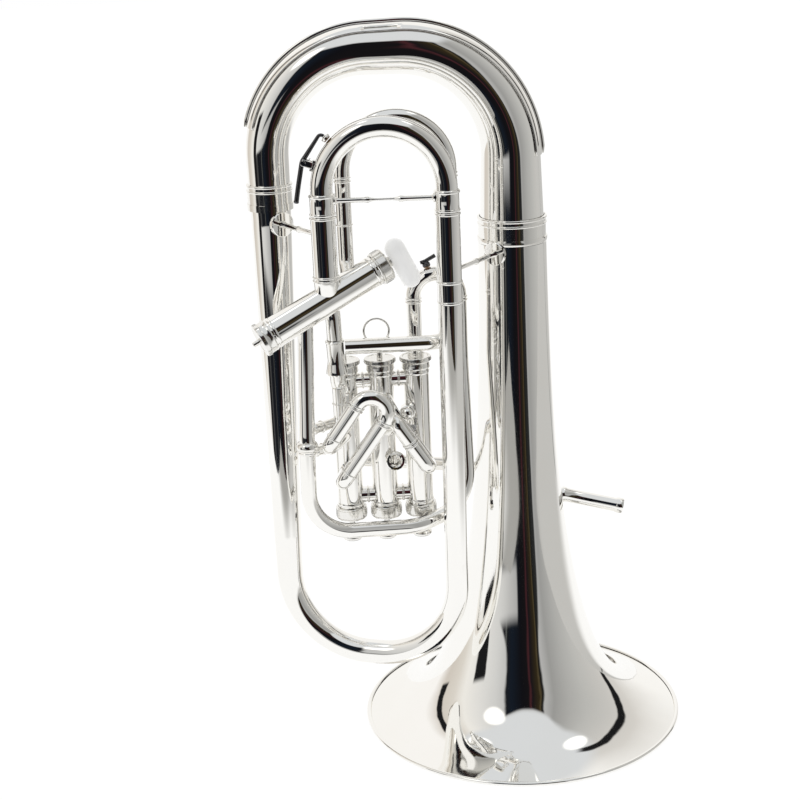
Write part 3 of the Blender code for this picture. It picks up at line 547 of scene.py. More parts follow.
def collar(name, centre, direction, radius, width, body=HORN, rise=0.0009):
    """One rounded ring round a tube."""
    line = []
    for i in range(11):
        angle = math.pi * i / 10
        line.append((radius - 0.0003 + (rise + 0.0003) * math.sin(angle), width / 2 * math.cos(angle)))
    line += [(radius - 0.0010, -width / 2), (radius - 0.0010, width / 2)]
    obj = turned(name, line, along(centre, direction), 56, closed=True)
    return finished(obj, SOFT_SILVER, body)


# ---------------------------------------------------------------- bell and bow


def bell_radius(height):
    lip = BELL_RIM_R - BELL_THROAT_R - BELL_FLARE_R
    flare = BELL_FLARE_R * math.exp(-height / BELL_FLARE_Z)
    return BELL_THROAT_R + flare + lip * math.exp(-height / BELL_LIP_Z)


def build_bell():
    stations = 96
    outer = []
    for i in range(stations, 0, -1):
        height = (BELL_SHOULDER_Z - BELL_BEAD_R) * (i / stations) ** 2.0
        outer.append((bell_radius(height), height + BELL_BEAD_R))
    inner = []
    for i, (radius, height) in enumerate(outer):
        before = outer[max(i - 1, 0)]
        after = outer[min(i + 1, stations - 1)]
        slope = Vector((after[0] - before[0], after[1] - before[1])).normalized()
        inner.append((radius + slope.y * WALL, height - slope.x * WALL))
    bead = []
    for i in range(21):
        angle = math.radians(150 - 15 * i)
        bead.append(
            (BELL_RIM_R + BELL_BEAD_R * math.cos(angle), BELL_BEAD_R + BELL_BEAD_R * math.sin(angle))
        )
    top = [(BOW_BELL_R, BELL_TOP_Z), (BOW_BELL_R, BELL_SHOULDER_Z + 0.0006)]
    bore = [(BOW_BELL_R - WALL, BELL_SHOULDER_Z), (BOW_BELL_R - WALL, BELL_TOP_Z)]
    bell = turned("bell", top + outer + bead + inner[::-1] + bore, None, 200, closed=True, angle=40)
    finished(bell, SILVER, nodes=("bell",))
    line = ring_line(
        0.0305, 0.0291, BELL_SHOULDER_Z + 0.0004, 0.4893, [
            (0.4880, 0.0013, 0.0008), (0.4832, 0.0011, 0.0007),
        ]
    )
    finished(turned("bell_ferrule", line, None, 96, closed=True), SOFT_SILVER, nodes=("bell_ferrule",))
    band = [
        (0.0312, 0.4712), (0.0315, 0.4706), (0.0315, 0.4672), (0.0312, 0.4664), (0.0303, 0.4664),
        (0.0303, 0.4712),
    ]
    finished(turned("bell_ferrule_band", band, None, 96, closed=True), SOFT_SILVER)


def bow_path():
    start = BRANCH_TOP
    corners = [start, (start.x, 0, BOW_TOP_Z), (0, 0, BOW_TOP_Z), (0, 0, BELL_TOP_Z)]
    points = route(corners, (0.0890, 0.0970), 30)
    radii = []
    for share in taper(points, 0, 1):
        radii.append(BOW_BRANCH_R + (BOW_BELL_R - BOW_BRANCH_R) * share - BOW_WAIST * share * (1 - share))
    return points, radii


def outward_at(points, i):
    tangent = (points[i + 1] - points[i]).normalized() + (points[i] - points[i - 1]).normalized()
    return tangent.normalized().cross(DEPTH)


def guard_line(points, radii, picked, angle, lift):
    """Points at one angle round the bow, this far above its skin."""
    line = []
    for i in picked:
        side = outward_at(points, i) * math.cos(angle) + DEPTH * math.sin(angle)
        line.append(points[i] + side * (radii[i] + lift))
    return line


def build_bow():
    points, radii = bow_path()
    finished(piped("main_bow", points, radii, 72), SILVER, nodes=("main_bow",))
    share = taper(points, 0, 1)
    picked = [i for i in range(1, len(points) - 1) if 0.13 < share[i] < 0.855]
    sleeve = piped("bow_guard", [points[i] for i in picked], [radii[i] + 0.0013 for i in picked], 72)
    take(sleeve)
    bpy.ops.object.mode_set(mode="EDIT")
    bpy.ops.mesh.select_all(action="DESELECT")
    bpy.ops.object.mode_set(mode="OBJECT")
    for face in sleeve.data.polygons:
        nearest = min(picked, key=lambda i: (points[i] - face.center).length)
        side = (face.center - points[nearest]).normalized()
        face.select = len(face.vertices) > 4 or side.dot(
            outward_at(points, nearest),
        ) < math.cos(math.radians(41))
    bpy.ops.object.mode_set(mode="EDIT")
    bpy.ops.mesh.delete(type="FACE")
    bpy.ops.object.mode_set(mode="OBJECT")
    bpy.ops.object.modifier_add(type="SOLIDIFY")
    shell = sleeve.modifiers[-1]
    shell.thickness = 0.0010
    shell.offset = -1
    bpy.ops.object.modifier_apply(modifier=shell.name)
    parts = [sleeve]
    for name, degrees, lift, wire in (
        ("rib", 0, 0.0024, 0.0019), ("near_edge", -41, 0.0009, 0.0009),
        ("far_edge", 41, 0.0009, 0.0009),
    ):
        line = guard_line(points, radii, picked, math.radians(degrees), lift)
        widths = [wire] * len(line)
        widths[0] = widths[-1] = wire * 0.4
        parts.append(piped("guard_" + name, line, widths, 14))
    finished(joined("bow_guard", *parts), SILVER, nodes=("bow_guard",))
    line = ring_line(
        BOW_BRANCH_R + 0.0012, BOW_BRANCH_R - 0.0002, -0.0115, 0.0115, [
            (0.0101, 0.0012, 0.0008), (0.0055, 0.0011, 0.0007),
        ]
    )
    where = Matrix.Translation(BRANCH_TOP)
    finished(
        turned("branch_ferrule", line, where, 80, closed=True), SOFT_SILVER,
        nodes=("branch_ferrule",),
    )
    wide = ring_line(BOW_BRANCH_R + 0.0019, BOW_BRANCH_R, -0.0114, -0.0056)
    finished(turned("branch_ferrule_band", wide, where, 80, closed=True), SOFT_SILVER)


def build_branch():
    lead = UP * 0.0230
    points = route([BRANCH_TOP, BRANCH_TOP - lead, BRANCH_FOOT + lead, BRANCH_FOOT], (0.09, 0.09), 60)
    branch = piped("left_branch", points, taper(points, BOW_BRANCH_R - 0.0003, BRANCH_FOOT_R), 64)
    finished(branch, SILVER, nodes=("left_branch",))
    left = (BRANCH_FOOT.x, BRANCH_FOOT.y, BOTTOM_BOW_Z)
    right = (LEG_FOOT.x, LEG_FOOT.y, BOTTOM_BOW_Z)
    points = route([BRANCH_FOOT, left, right, LEG_FOOT], (0.0740, 0.0740), 30)
    bow = piped("bottom_bow", points, taper(points, BRANCH_FOOT_R, LEG_FOOT_R), 56)
    finished(bow, SILVER, nodes=("bottom_bow",))
    top = at(SLIDE_RIGHT, LEG_TOP_Z)
    leg = piped("long_leg", [LEG_FOOT, LEG_FOOT.lerp(top, 0.5), top], [LEG_FOOT_R, 0.0103, LEG_TOP_R], 56)
    finished(leg, SILVER, nodes=("long_leg",))


# ---------------------------------------------------------------- tuning slide


def build_tuning_slide():
    beads = [(SLEEVE_TOP_Z - 0.0014, 0.0012, 0.0007), (0.4520, 0.0013, 0.0007), (0.4344, 0.0013, 0.0007)]
    line = ring_line(SLEEVE_R, SLEEVE_R - WALL, LEG_TOP_Z, SLEEVE_TOP_Z, beads)
    sleeve = turned("tuning_sleeve_right", line, Matrix.Translation(SLIDE_RIGHT), 64, closed=True)
    finished(sleeve, SILVER, nodes=("tuning_sleeve_right",))

    entry = valve4_point(SLIDE_LEFT.x + 0.0010)
    top = at(SLIDE_LEFT, SLEEVE_TOP_Z)
    points = route([top, at(SLIDE_LEFT, 0.4560), entry], (0.0100,), 24)
    sleeve = bored_for_valve(piped("tuning_sleeve_left", points, SLEEVE_R, 56), 4)
    bored(sleeve, at(SLIDE_LEFT, 0.4665), at(SLIDE_LEFT, 0.5200), SLEEVE_R - WALL)
    finished(sleeve, SILVER, nodes=("tuning_sleeve_left",))
    collar("tuning_sleeve_left_ring", at(SLIDE_LEFT, SLEEVE_TOP_Z - 0.0014), UP, SLEEVE_R, 0.0024)
    collar("tuning_sleeve_left_low_ring", at(SLIDE_LEFT, 0.4600), UP, SLEEVE_R, 0.0022)
    collar("tuning_sleeve_left_foot_ring", at(SLIDE_LEFT, 0.4570), UP, SLEEVE_R, 0.0018)

    bend = (SLIDE_RIGHT - SLIDE_LEFT).length / 2
    left, right = at(SLIDE_LEFT, CROOK_Z), at(SLIDE_RIGHT, CROOK_Z)
    points = route(
        [at(SLIDE_LEFT, MOUTH_Z), left, right, at(SLIDE_RIGHT, MOUTH_Z)], (bend - 1e-5,) * 2, 36,
    )
    finished(piped("tuning_crook", points, CROOK_R, 56), SILVER, "tuning_slide", nodes=("tuning_crook",))
    leg_r = SLEEVE_R - WALL - 0.0003
    for side, post in (("left", SLIDE_LEFT), ("right", SLIDE_RIGHT)):
        line = [(leg_r - WALL, MOUTH_Z), (SLEEVE_R - 0.0004, MOUTH_Z + 0.0004)]
        for i in range(7):
            angle = math.pi * i / 6
            line.append(
                (SLEEVE_R + 0.0007 * math.sin(angle), MOUTH_Z - 0.0012 + 0.0012 * math.cos(angle)),
            )
        line.append((SLEEVE_R - 0.0002, MOUTH_Z - 0.0040))
        line.append((SLEEVE_R - 0.0002, SLEEVE_TOP_Z + 0.0034))
        for i in range(7):
            angle = math.pi * i / 6
            line.append(
                (SLEEVE_R + 0.0006 * math.sin(angle), SLEEVE_TOP_Z + 0.0018 + 0.0011 * math.cos(angle)),
            )
        line += [
            (leg_r, SLEEVE_TOP_Z + 0.0006), (leg_r, SLEEVE_TOP_Z - 0.0450),
            (leg_r - WALL, SLEEVE_TOP_Z - 0.0450),
        ]
        leg = turned("tuning_leg_" + side, line, Matrix.Translation(post), 64, closed=True)
        finished(leg, SILVER, "tuning_slide", nodes=("tuning_leg_" + side,))
    build_tuning_brace()
    build_tuning_key(left, right, bend)


def build_tuning_brace():
    start = at(SLIDE_LEFT, BRACE_Z) + Vector((SLEEVE_R - 0.0006, 0, 0))
    end = at(SLIDE_RIGHT, BRACE_Z) - Vector((SLEEVE_R - 0.0006, 0, 0))
    span = (end - start).length
    line = [
        (0, 0), (0.0040, 0), (0.0040, 0.0012), (0.0024, 0.0026), (0.0021, 0.0045),
        (0.0022, span * 0.30),
    ]
    line += [(0.0027, span * 0.32), (0.0027, span * 0.345), (0.0017, span * 0.37), (0.0011, span * 0.42)]
    line += [(radius, span - height) for radius, height in reversed(line)]
    brace = turned("tuning_brace", line, along(start, end - start), 40)
    finished(brace, SILVER, "tuning_slide", nodes=("tuning_brace",))


def spring_line(centre, axis, radius, turns, pitch, steps=14):
    turn = UP.rotation_difference(axis).to_matrix()
    points = []
    for i in range(turns * steps + 1):
        angle = math.tau * i / steps
        spot = Vector(
            (radius * math.cos(angle), radius * math.sin(angle), pitch * (i / steps - turns / 2)),
        )
        points.append(centre + turn @ spot)
    return points


def build_tuning_key(left, right, bend):
    """The water key on the crook's shoulder: bracket, rod, spring, and a lever with its corked cup."""
    middle = (left + right) / 2 - UP * bend
    ahead = (right - left).normalized()
    slope = math.radians(159)
    outward = ahead * math.cos(slope) + UP * math.sin(slope)
    level = UP.cross(ahead)
    turn = Matrix((outward, level, outward.cross(level))).transposed().to_4x4()
    root = middle + outward * (bend + CROOK_R)
    pivot = root + outward * 0.0088
    parts = [block("tuning_key_saddle", root + outward * 0.0006, (0.0030, 0.0078, 0.0100), turn)]
    for side in (-1, 1):
        centre = root + outward * 0.0054 + level * side * 0.0036
        parts.append(block("saddle_lug", centre, (0.0096, 0.0014, 0.0056), turn, 0.0004))
        end = pivot + level * side * 0.0049
        parts.append(
            turned(
                "rod_head", [(0, 0), (0.0014, 0), (0.0018, 0.0004), (0.0018, 0.0010), (0, 0.0010)],
                along(end - level * side * 0.0005, level * side), 24,
            ),
        )
    parts.append(piped("rod", [pivot - level * 0.0046, pivot + level * 0.0046], 0.0009, 16))
    finished(joined("tuning_key_saddle", *parts), SILVER, "tuning_slide", nodes=("tuning_key_saddle",))
    coil = spring_line(pivot, level, 0.0023, 4, 0.0009)
    coil = [
        coil[0] + outward * -0.0040 + UP * 0.0050,
    ] + coil + [coil[-1] - outward * 0.0055 - UP * 0.0060]
    finished(piped("tuning_key_spring", coil, 0.00035, 10), SPRING_METAL, "tuning_slide")

    nose = math.radians(136)
    towards = ahead * math.cos(nose) + UP * math.sin(nose)
    pad = middle + towards * (bend + CROOK_R + 0.0006)
    corners = [pad + towards * 0.0040, pad + towards * 0.0080, pivot + outward * 0.0012]
    corners += [pivot - ahead * 0.0052 - UP * 0.0190, pivot - ahead * 0.0078 - UP * 0.0330]
    points = route(corners, (0.003, 0.010, 0.02), 16)
    widths = [0.0014 + 0.0007 * min(1, share * 2.2) for share in taper(points, 0, 1)]
    arm = piped("tuning_key_lever", points, widths, 20)
    tip = turned(
        "key_tip", [(0, -0.0016), (0.0018, -0.0012), (0.0024, 0), (0.0018, 0.0012), (0, 0.0016)],
        along(points[-1], points[-1] - points[-2]), 24,
    )
    barrel = piped("key_barrel", [pivot - level * 0.0024, pivot + level * 0.0024], 0.0021, 24)
    finished(
        joined("tuning_key_lever", arm, tip, barrel), KEY_METAL, "tuning_key",
        ("tuning_key_lever",),
    )
    cup = [
        (0, 0.0050), (0.0012, 0.0049), (0.0016, 0.0040), (0.0036, 0.0034), (0.0041, 0.0028),
        (0.0041, 0.0012), (0.0034, 0.0012), (0, 0.0012),
    ]
    finished(turned("tuning_key_cup", cup, along(pad, towards), 40), SILVER, "tuning_key")
    cork = [(0, 0.0013), (0.0032, 0.0013), (0.0033, 0.0004), (0.0030, 0.0001), (0, 0.0001)]
    finished(
        turned("tuning_key_cork", cork, along(pad, towards), 32), CORK, "tuning_key",
    )


# ---------------------------------------------------------------- valves


def knurl(cap, where, low, high, outer, flutes):
    """Draws in every other line of an upright cap's edge for fingers to grip, then puts the cap in place."""
    take(cap)
    bpy.ops.object.mode_set(mode="EDIT")
    bpy.ops.mesh.select_mode(type="VERT")
    bpy.ops.mesh.select_all(action="DESELECT")
    bpy.ops.object.mode_set(mode="OBJECT")
    for vertex in cap.data.vertices:
        on_edge = low <= vertex.co.z <= high and vertex.co.xy.length > outer - GRIP_DEPTH
        turn = math.atan2(vertex.co.y, vertex.co.x) / math.tau * flutes
        vertex.select = bool(on_edge and round(turn * 2) % 2)
    bpy.ops.object.mode_set(mode="EDIT")
    bpy.ops.transform.resize(value=(GRIP_SHARE, GRIP_SHARE, 1), center_override=(0, 0, 0))
    bpy.ops.object.mode_set(mode="OBJECT")
    cap.matrix_world = where
    return settle(cap)


def cap_line(cap_r, skin_r, low, high):
    """A cap's outside, with a grooved grip between two plain lips."""
    return [
        (skin_r + 0.0002, high),
        (cap_r - 0.0010, high),
        (cap_r - 0.0003, high - 0.0006),
        (cap_r - 0.0003, high - 0.0016),
        (cap_r - 0.0010, high - 0.0019),
        (cap_r, high - 0.0024),
        (cap_r, low + 0.0018),
        (cap_r - 0.0010, low + 0.0013),
        (cap_r - 0.0004, low + 0.0009),
        (cap_r - 0.0008, low),
    ]


def build_valve_shell(name, base, tip, radius, cap_radius, dish):
    where = along(base, tip - base)
    length = (tip - base).length
    bore = radius - 0.0012
    bands = [(CAP_SKIRT + 0.0030, 0.0016, 0.0005), (length - CAP_SKIRT - 0.0030, 0.0016, 0.0005)]
    casing = turned(
        name + "_casing", ring_line(radius, bore, 0.0023, length - 0.0023, bands), where, 72,
        closed=True,
    )
    finished(casing, SILVER, nodes=(name + "_casing",))
    flutes = 36
    inner = cap_radius - 0.0032
    rim = [
        (radius + 0.0002, CAP_SKIRT),
        (radius + 0.0008, CAP_SKIRT - 0.0003),
        (radius + 0.0011, CAP_SKIRT - 0.0012),
        (radius + 0.0008, CAP_SKIRT - 0.0020),
        (radius + 0.0008, 0.0052),
        (cap_radius - 0.0006, 0.0042),
        (cap_radius, 0.0036),
        (cap_radius, 0.0012),
        (cap_radius - 0.0004, 0.0004),
        (cap_radius - 0.0010, 0.0),
    ]
    bottom = rim + [
        (inner + 0.0006, 0.0),
        (inner, 0.0005),
        (inner * 0.75, dish * 0.75),
        (inner * 0.45, dish),
        (0.0030, dish),
        (0.0026, dish - 0.0006),
        (0.0022, -0.0062),
        (0.0017, -0.0066),
        (0.0009, -0.0066),
        (0.0009, 0.0019),
        (radius + 0.0002, 0.0020),
    ]
    cap = turned(name + "_bottom_cap", bottom, None, flutes * 2, closed=True, angle=28)
    knurl(cap, where, 0.0010, 0.0038, cap_radius, flutes)
    finished(cap, CAP_METAL, nodes=(name + "_bottom_cap",))
    rim = [(r, length - h) for r, h in cap_line(cap_radius, radius, 0.0, CAP_SKIRT)]
    top = rim + [
        (cap_radius - 0.0030, length - 0.0002),
        (cap_radius - 0.0040, length - 0.0005),
        (0.0052, length - 0.0003),
        (0.0046, length),
        (STEM_R + 0.0006, length),
        (STEM_R + 0.0006, length - 0.0020),
        (radius + 0.0002, length - 0.0020),
    ]
    cap = turned(name + "_top_cap", top, None, flutes * 2, closed=True, angle=28)
    knurl(cap, where, length - CAP_SKIRT + 0.0020, length - 0.0014, cap_radius, flutes)
    finished(cap, CAP_METAL, nodes=(name + "_top_cap",))
    return where, length, bore


def build_valves():
    for number, x in enumerate(VALVE_XS, 1):
        name = "valve" + str(number)
        base = Vector((x, VALVE_Y, VALVE_BASE_Z))
        where, length, bore = build_valve_shell(
            name, base, base - UP * VALVE_LENGTH, VALVE_R, VALVE_CAP_R, CAP_DISH
        )
        stand = length + VALVE_TRAVEL + 0.0012
        piston_r = bore - 0.0003
        low = 0.0023 + VALVE_TRAVEL + 0.0130
        high = length - 0.0028
        piston = [
            (0, stand - 0.0003),
            (STEM_R, stand - 0.0003),
            (STEM_R, high + 0.0002),
            (piston_r - 0.0006, high),
            (piston_r, high - 0.0006),
            (piston_r, low + 0.0006),
            (piston_r - 0.0006, low),
            (0, low),
        ]
        body = name
        plunger = turned(name + "_piston", piston, where, 56)
        finished(plunger, PISTON_METAL, body, (name + "_piston",))
        felt = [
            (STEM_R + 0.0002, stand - 0.0004), (0.0062, stand - 0.0004), (0.0064, stand - 0.0012),
            (0.0060, stand - 0.0020), (STEM_R + 0.0002, stand - 0.0020),
        ]
        finished(turned(name + "_felt", felt, where, 40, closed=True), FELT, body)
        dish = [
            (0, stand), (0.0070, stand), (0.0088, stand + 0.0014), (0.0091, stand + 0.0026),
            (0.0089, stand + 0.0036), (0.0081, stand + 0.0040), (0.0079, stand + 0.0032),
            (0, stand + 0.0032),
        ]
        finished(turned(name + "_button_dish", dish, where, 56), SOFT_SILVER, body)
        pearl = [
            (0, stand + 0.0050), (0.0030, stand + 0.0051), (0.0060, stand + 0.0053),
            (0.0074, stand + 0.0049), (0.0078, stand + 0.0040), (0.0077, stand + 0.0034),
            (0, stand + 0.0034),
        ]
        finished(turned(name + "_button", pearl, where, 56), PEARL, body, (name + "_button",))
        first = 0.0023 + 0.0009
        rise = low - 0.0023 - 0.0018
        coil = []
        for i in range(5 * 20 + 1):
            angle = math.tau * i / 20
            spot = Vector((0.0068 * math.cos(angle), 0.0068 * math.sin(angle), first + rise * i / 100))
            coil.append(where @ spot)
        spring = finished(
            piped(name + "_spring", coil, 0.0006, 10), SPRING_METAL,
            nodes=(name + "_spring",),
        )
        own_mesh(spring)


def valve4_point(x):
    share = (x - VALVE4_BASE.x) / (VALVE4_TIP.x - VALVE4_BASE.x)
    return VALVE4_BASE.lerp(VALVE4_TIP, share)


def build_valve4():
    where, length, bore = build_valve_shell(
        "valve4", VALVE4_BASE, VALVE4_TIP, VALVE4_R, VALVE4_CAP_R, CAP4_DISH
    )
    out = (VALVE4_TIP - VALVE4_BASE).normalized()
    across = out.cross(DEPTH).normalized()
    if across.z > 0:
        across = -across
    piston_r = bore - 0.0003
    tip = length + 0.0130
    high = length - 0.0145
    low = 0.0060
    line = [
        (0, tip - 0.0040),
        (STEM_R, tip - 0.0040),
        (STEM_R, high),
        (piston_r - 0.0006, high),
        (piston_r, high - 0.0006),
        (piston_r, low + 0.0006),
        (piston_r - 0.0006, low),
        (0, low),
    ]
    plunger = turned("valve4_piston", line, where, 64)
    collar_line = [
        (0, tip - 0.0105), (0.0040, tip - 0.0105), (0.0046, tip - 0.0098), (0.0046, tip - 0.0088),
        (0.0030, tip - 0.0080), (0, tip - 0.0078),
    ]
    nut = turned("valve4_stem_nut", collar_line, where, 40)
    finished(
        joined("valve4_piston", plunger, nut), PISTON_METAL, "valve4",
        ("valve4_piston",),
    )
    centre = VALVE4_TIP + out * 0.0130 + across * 0.0070
    line = []
    for i in range(15):
        angle = math.pi / 2 * (1 - i / 14)
        line.append((0.0090 * math.cos(angle), 0.0145 + 0.0090 * math.sin(angle)))
    line += [(radius, -height) for radius, height in reversed(line)]
    line[0] = (0, line[0][1])
    line[-1] = (0, line[-1][1])
    roller = turned("valve4_button", line, along(centre, across), 64)
    finished(roller, ROLLER, "valve4", ("valve4_button",))


# ---------------------------------------------------------------- small tubing


def slide_sleeve(name, points, deep, clear, valve=None):
    """A tube with one end bored for a slide's leg. The other end goes into a casing's wall."""
    tube = piped(name, points, PIPE_R, 40)
    if valve:
        bored_for_valve(tube, valve)
    bored(tube, deep, clear, LEG_R + LEG_FIT)
    return finished(tube, SILVER, nodes=(name,))


def build_valve_tubes():
    for height, pair in ((VALVE_BASE_Z - 0.0200, (1, 2)), (VALVE_BASE_Z - 0.1280, None)):
        for i in (0, 1):
            posts = [Vector((VALVE_XS[k], VALVE_Y, height)) for k in (i, i + 1)]
            name = "valve{}_valve{}_knuckle".format(i + 1, i + 2)
            if pair is None:
                name += "_low"
            link = piped(name, posts, LINK_R, 40)
            bored_for_valve(bored_for_valve(link, i + 1), i + 2)
            known = (name,) if pair else ()
            finished(link, SILVER, nodes=known)
            middle = (posts[0] + posts[1]) / 2
            collar(name + "_ring", middle, posts[1] - posts[0], LINK_R, 0.0022)

    start = valve4_point(-0.1670)
    corners = [
        start, (-0.1655, -0.0700, 0.4230), (-0.1640, -0.0670, 0.3590),
        (VALVE_XS[0], VALVE_Y, 0.3480),
    ]
    points = route(corners, (0.015, 0.013))
    outlet = piped("valve4_outlet", points, PIPE_R, 40)
    bored_for_valve(bored_for_valve(outlet, 4), 1)
    finished(outlet, SILVER, nodes=("valve4_outlet",))
    top = Vector((-0.16535, -0.0697, 0.4120))
    bottom = Vector((-0.1642, -0.0675, 0.3700))
    line = [(0.0067, 0), (0.0079, 0), (0.0083, 0.0006), (0.0083, 0.0020), (0.0077, 0.0026)]
    line += [
        (0.0074, 0.0180), (0.0080, 0.0220), (0.0092, 0.0270), (0.0095, 0.0300), (0.0088, 0.0312),
        (0.0067, 0.0312),
    ]
    sleeve = turned("valve4_outlet_sleeve", line, along(top - UP * 0.0090, bottom - top), 56, closed=True)
    finished(sleeve, SILVER)

    corners = [
        (-0.1570, -0.0680, 0.3955),
        (-0.0780, -0.0640, 0.3935),
        at(SLIDE4_RIGHT, 0.3930),
        at(SLIDE4_RIGHT, SLIDE4_MOUTH_Z),
    ]
    points = route(corners, (0.02, 0.012))
    slide_sleeve("cross_tube", points, at(SLIDE4_RIGHT, 0.4900), at(SLIDE4_RIGHT, 0.5400))
    entry = valve4_point(SLIDE4_LEFT.x + 0.0010)
    corners = [at(SLIDE4_LEFT, SLIDE4_MOUTH_Z), at(SLIDE4_LEFT, entry.z + 0.0170), entry]
    points = route(corners, (0.013,))
    slide_sleeve("valve4_slide_sleeve", points, at(SLIDE4_LEFT, 0.4900), at(SLIDE4_LEFT, 0.5400), 4)
    for tag, post in (("left", SLIDE4_LEFT), ("right", SLIDE4_RIGHT)):
        collar("fourth_sleeve_ring_" + tag, at(post, 0.5355), UP, PIPE_R, 0.0022)
        collar("fourth_sleeve_low_ring_" + tag, at(post, 0.4980), UP, PIPE_R, 0.0020)

    top = at(SLIDE3_RIGHT, SLIDE3_MOUTH_Z)
    corners = [
        top,
        top - UP * 0.0550,
        (SLIDE3_RIGHT.x, -0.0460, 0.2360),
        (-0.0990, -0.0720, 0.2260),
        (-0.1958, -0.0890, 0.2330),
        (-0.1942, -0.0915, 0.3210),
        valve4_point(-0.1890),
    ]
    points = route(corners, (0.05, 0.040, 0.06, 0.040, 0.05), 24)
    slide_sleeve("return_tube", points, at(SLIDE3_RIGHT, 0.3700), at(SLIDE3_RIGHT, 0.4250), 4)
    line = [
        (0.0066, 0), (0.0078, 0), (0.0084, 0.0008), (0.0084, 0.0020), (0.0078, 0.0027),
        (0.0079, 0.0036),
    ]
    line += [
        (0.0093, 0.0048), (0.0096, 0.0066), (0.0092, 0.0088), (0.0082, 0.0104), (0.0068, 0.0112),
        (0.0066, 0.0100),
    ]
    joint = turned(
        "return_tube_ferrule", line,
        along(Vector((-0.19445, -0.09112, 0.3080)), Vector((0.0016, -0.0025, 0.088))), 56,
        closed=True,
    )
    finished(joint, SOFT_SILVER)

    corners = [at(SLIDE3_LEFT, SLIDE3_MOUTH_Z), at(SLIDE3_LEFT, 0.3440), (VALVE_XS[2], VALVE_Y, 0.3300)]
    points = route(corners, (0.013,))
    slide_sleeve("third_slide_sleeve", points, at(SLIDE3_LEFT, 0.3700), at(SLIDE3_LEFT, 0.4250), 3)
    for tag, post in (("left", SLIDE3_LEFT), ("right", SLIDE3_RIGHT)):
        collar("third_sleeve_ring_" + tag, at(post, 0.4186), UP, PIPE_R, 0.0022)


def build_casing_fittings():
    """Short tubes, a port and a capped elbow on the casings of valves 1 to 3."""
    for height, tag in ((0.3230, "upper"), (0.3020, "lower")):
        start = Vector((-0.1885, -0.0700, height))
        end = Vector((VALVE_XS[0] - 0.0090, -0.0520, height - 0.0006))
        stub = piped("casing_link_" + tag, [start, end], 0.0048, 36)
        finished(stub, SILVER)
        collar("casing_link_ring_" + tag, start.lerp(end, 0.35), end - start, 0.0048, 0.0018)
        cap = [
            (0, 0.0018), (0.0030, 0.0014), (0.0048, 0.0002), (0.0054, -0.0012), (0.0052, -0.0024),
            (0, -0.0024),
        ]
        finished(turned("casing_link_end_" + tag, cap, along(start, start - end), 40), SOFT_SILVER)
    top = Vector((-0.1640, -0.0680, 0.3590))
    points = route([top, top - UP * 0.0300, Vector((-0.1590, -0.0560, 0.3180))], (0.010,), 16)
    finished(piped("first_valve_loop", points, 0.0058, 40), SILVER)
    collar("first_valve_loop_ring", top - UP * 0.0140, UP, 0.0058, 0.0018)
    capped = [(0, 0.0100), (0.0028, 0.0095), (0.0050, 0.0080), (0.0060, 0.0060), (0.0062, 0.0040)]
    capped += [(0.0068, 0.0034), (0.0068, 0.0022), (0.0062, 0.0016), (0.0062, -0.0060), (0, -0.0060)]
    dome = Vector((-0.1045, -0.0560, 0.3290))
    finished(turned("third_casing_dome", capped, along(dome, -DEPTH), 48), SILVER)
    peg = [
        (0, 0.0), (0.0022, 0.0), (0.0022, 0.0070), (0.0027, 0.0074), (0.0027, 0.0094),
        (0.0022, 0.0100), (0, 0.0100),
    ]
    finished(
        turned("third_casing_peg", peg, along(dome - DEPTH * 0.0030, Vector((-1, 0, 0.06))), 32),
        SILVER,
    )
    port = [(0.0044, -0.0050), (0.0068, -0.0050), (0.0072, 0.0010), (0.0084, 0.0024), (0.0087, 0.0036)]
    port += [(0.0080, 0.0044), (0.0060, 0.0042), (0.0048, 0.0030), (0.0044, 0.0010)]
    mouth = Vector((-0.1170, -0.0575, 0.2850))
    finished(
        turned("second_casing_port", port, along(mouth, Vector((0.1, -1, 0.12))), 56, closed=True),
        SILVER,
    )
    spring = spring_line(
        Vector((-0.1010, -0.0640, 0.3130)), Vector((0.18, -0.20, 1)).normalized(), 0.0019, 8,
        0.0017,
    )
    finished(piped("third_casing_coil", spring, 0.0005, 10), SPRING_METAL)


def crook(name, mouth_left, mouth_right, out, reach, depth, bend, body):
    """A slide: a bent tube with a thinner leg in each sleeve."""
    crown = [mouth_left + out * reach, mouth_right + out * reach]
    lift = out * 0.0003
    arc = route([mouth_left + lift, crown[0], crown[1], mouth_right + lift], (bend, bend), 22)
    parts = [piped(name, arc, PIPE_R, 40)]
    for mouth in (mouth_left, mouth_right):
        parts.append(piped(name + "_leg", [mouth - out * depth, mouth + out * 0.001], LEG_R - 0.0002, 32))
        line = []
        for i in range(9):
            angle = math.pi * i / 8
            line.append((PIPE_R - 0.0002 + 0.0010 * math.sin(angle), 0.0016 - 0.0011 * math.cos(angle)))
        line += [(0.0060, 0.0028), (0.0060, 0.0004)]
        parts.append(turned(name + "_ring", line, along(mouth, out), 48, closed=True))
    return finished(joined(name, *parts), SILVER, body, nodes=(name,))


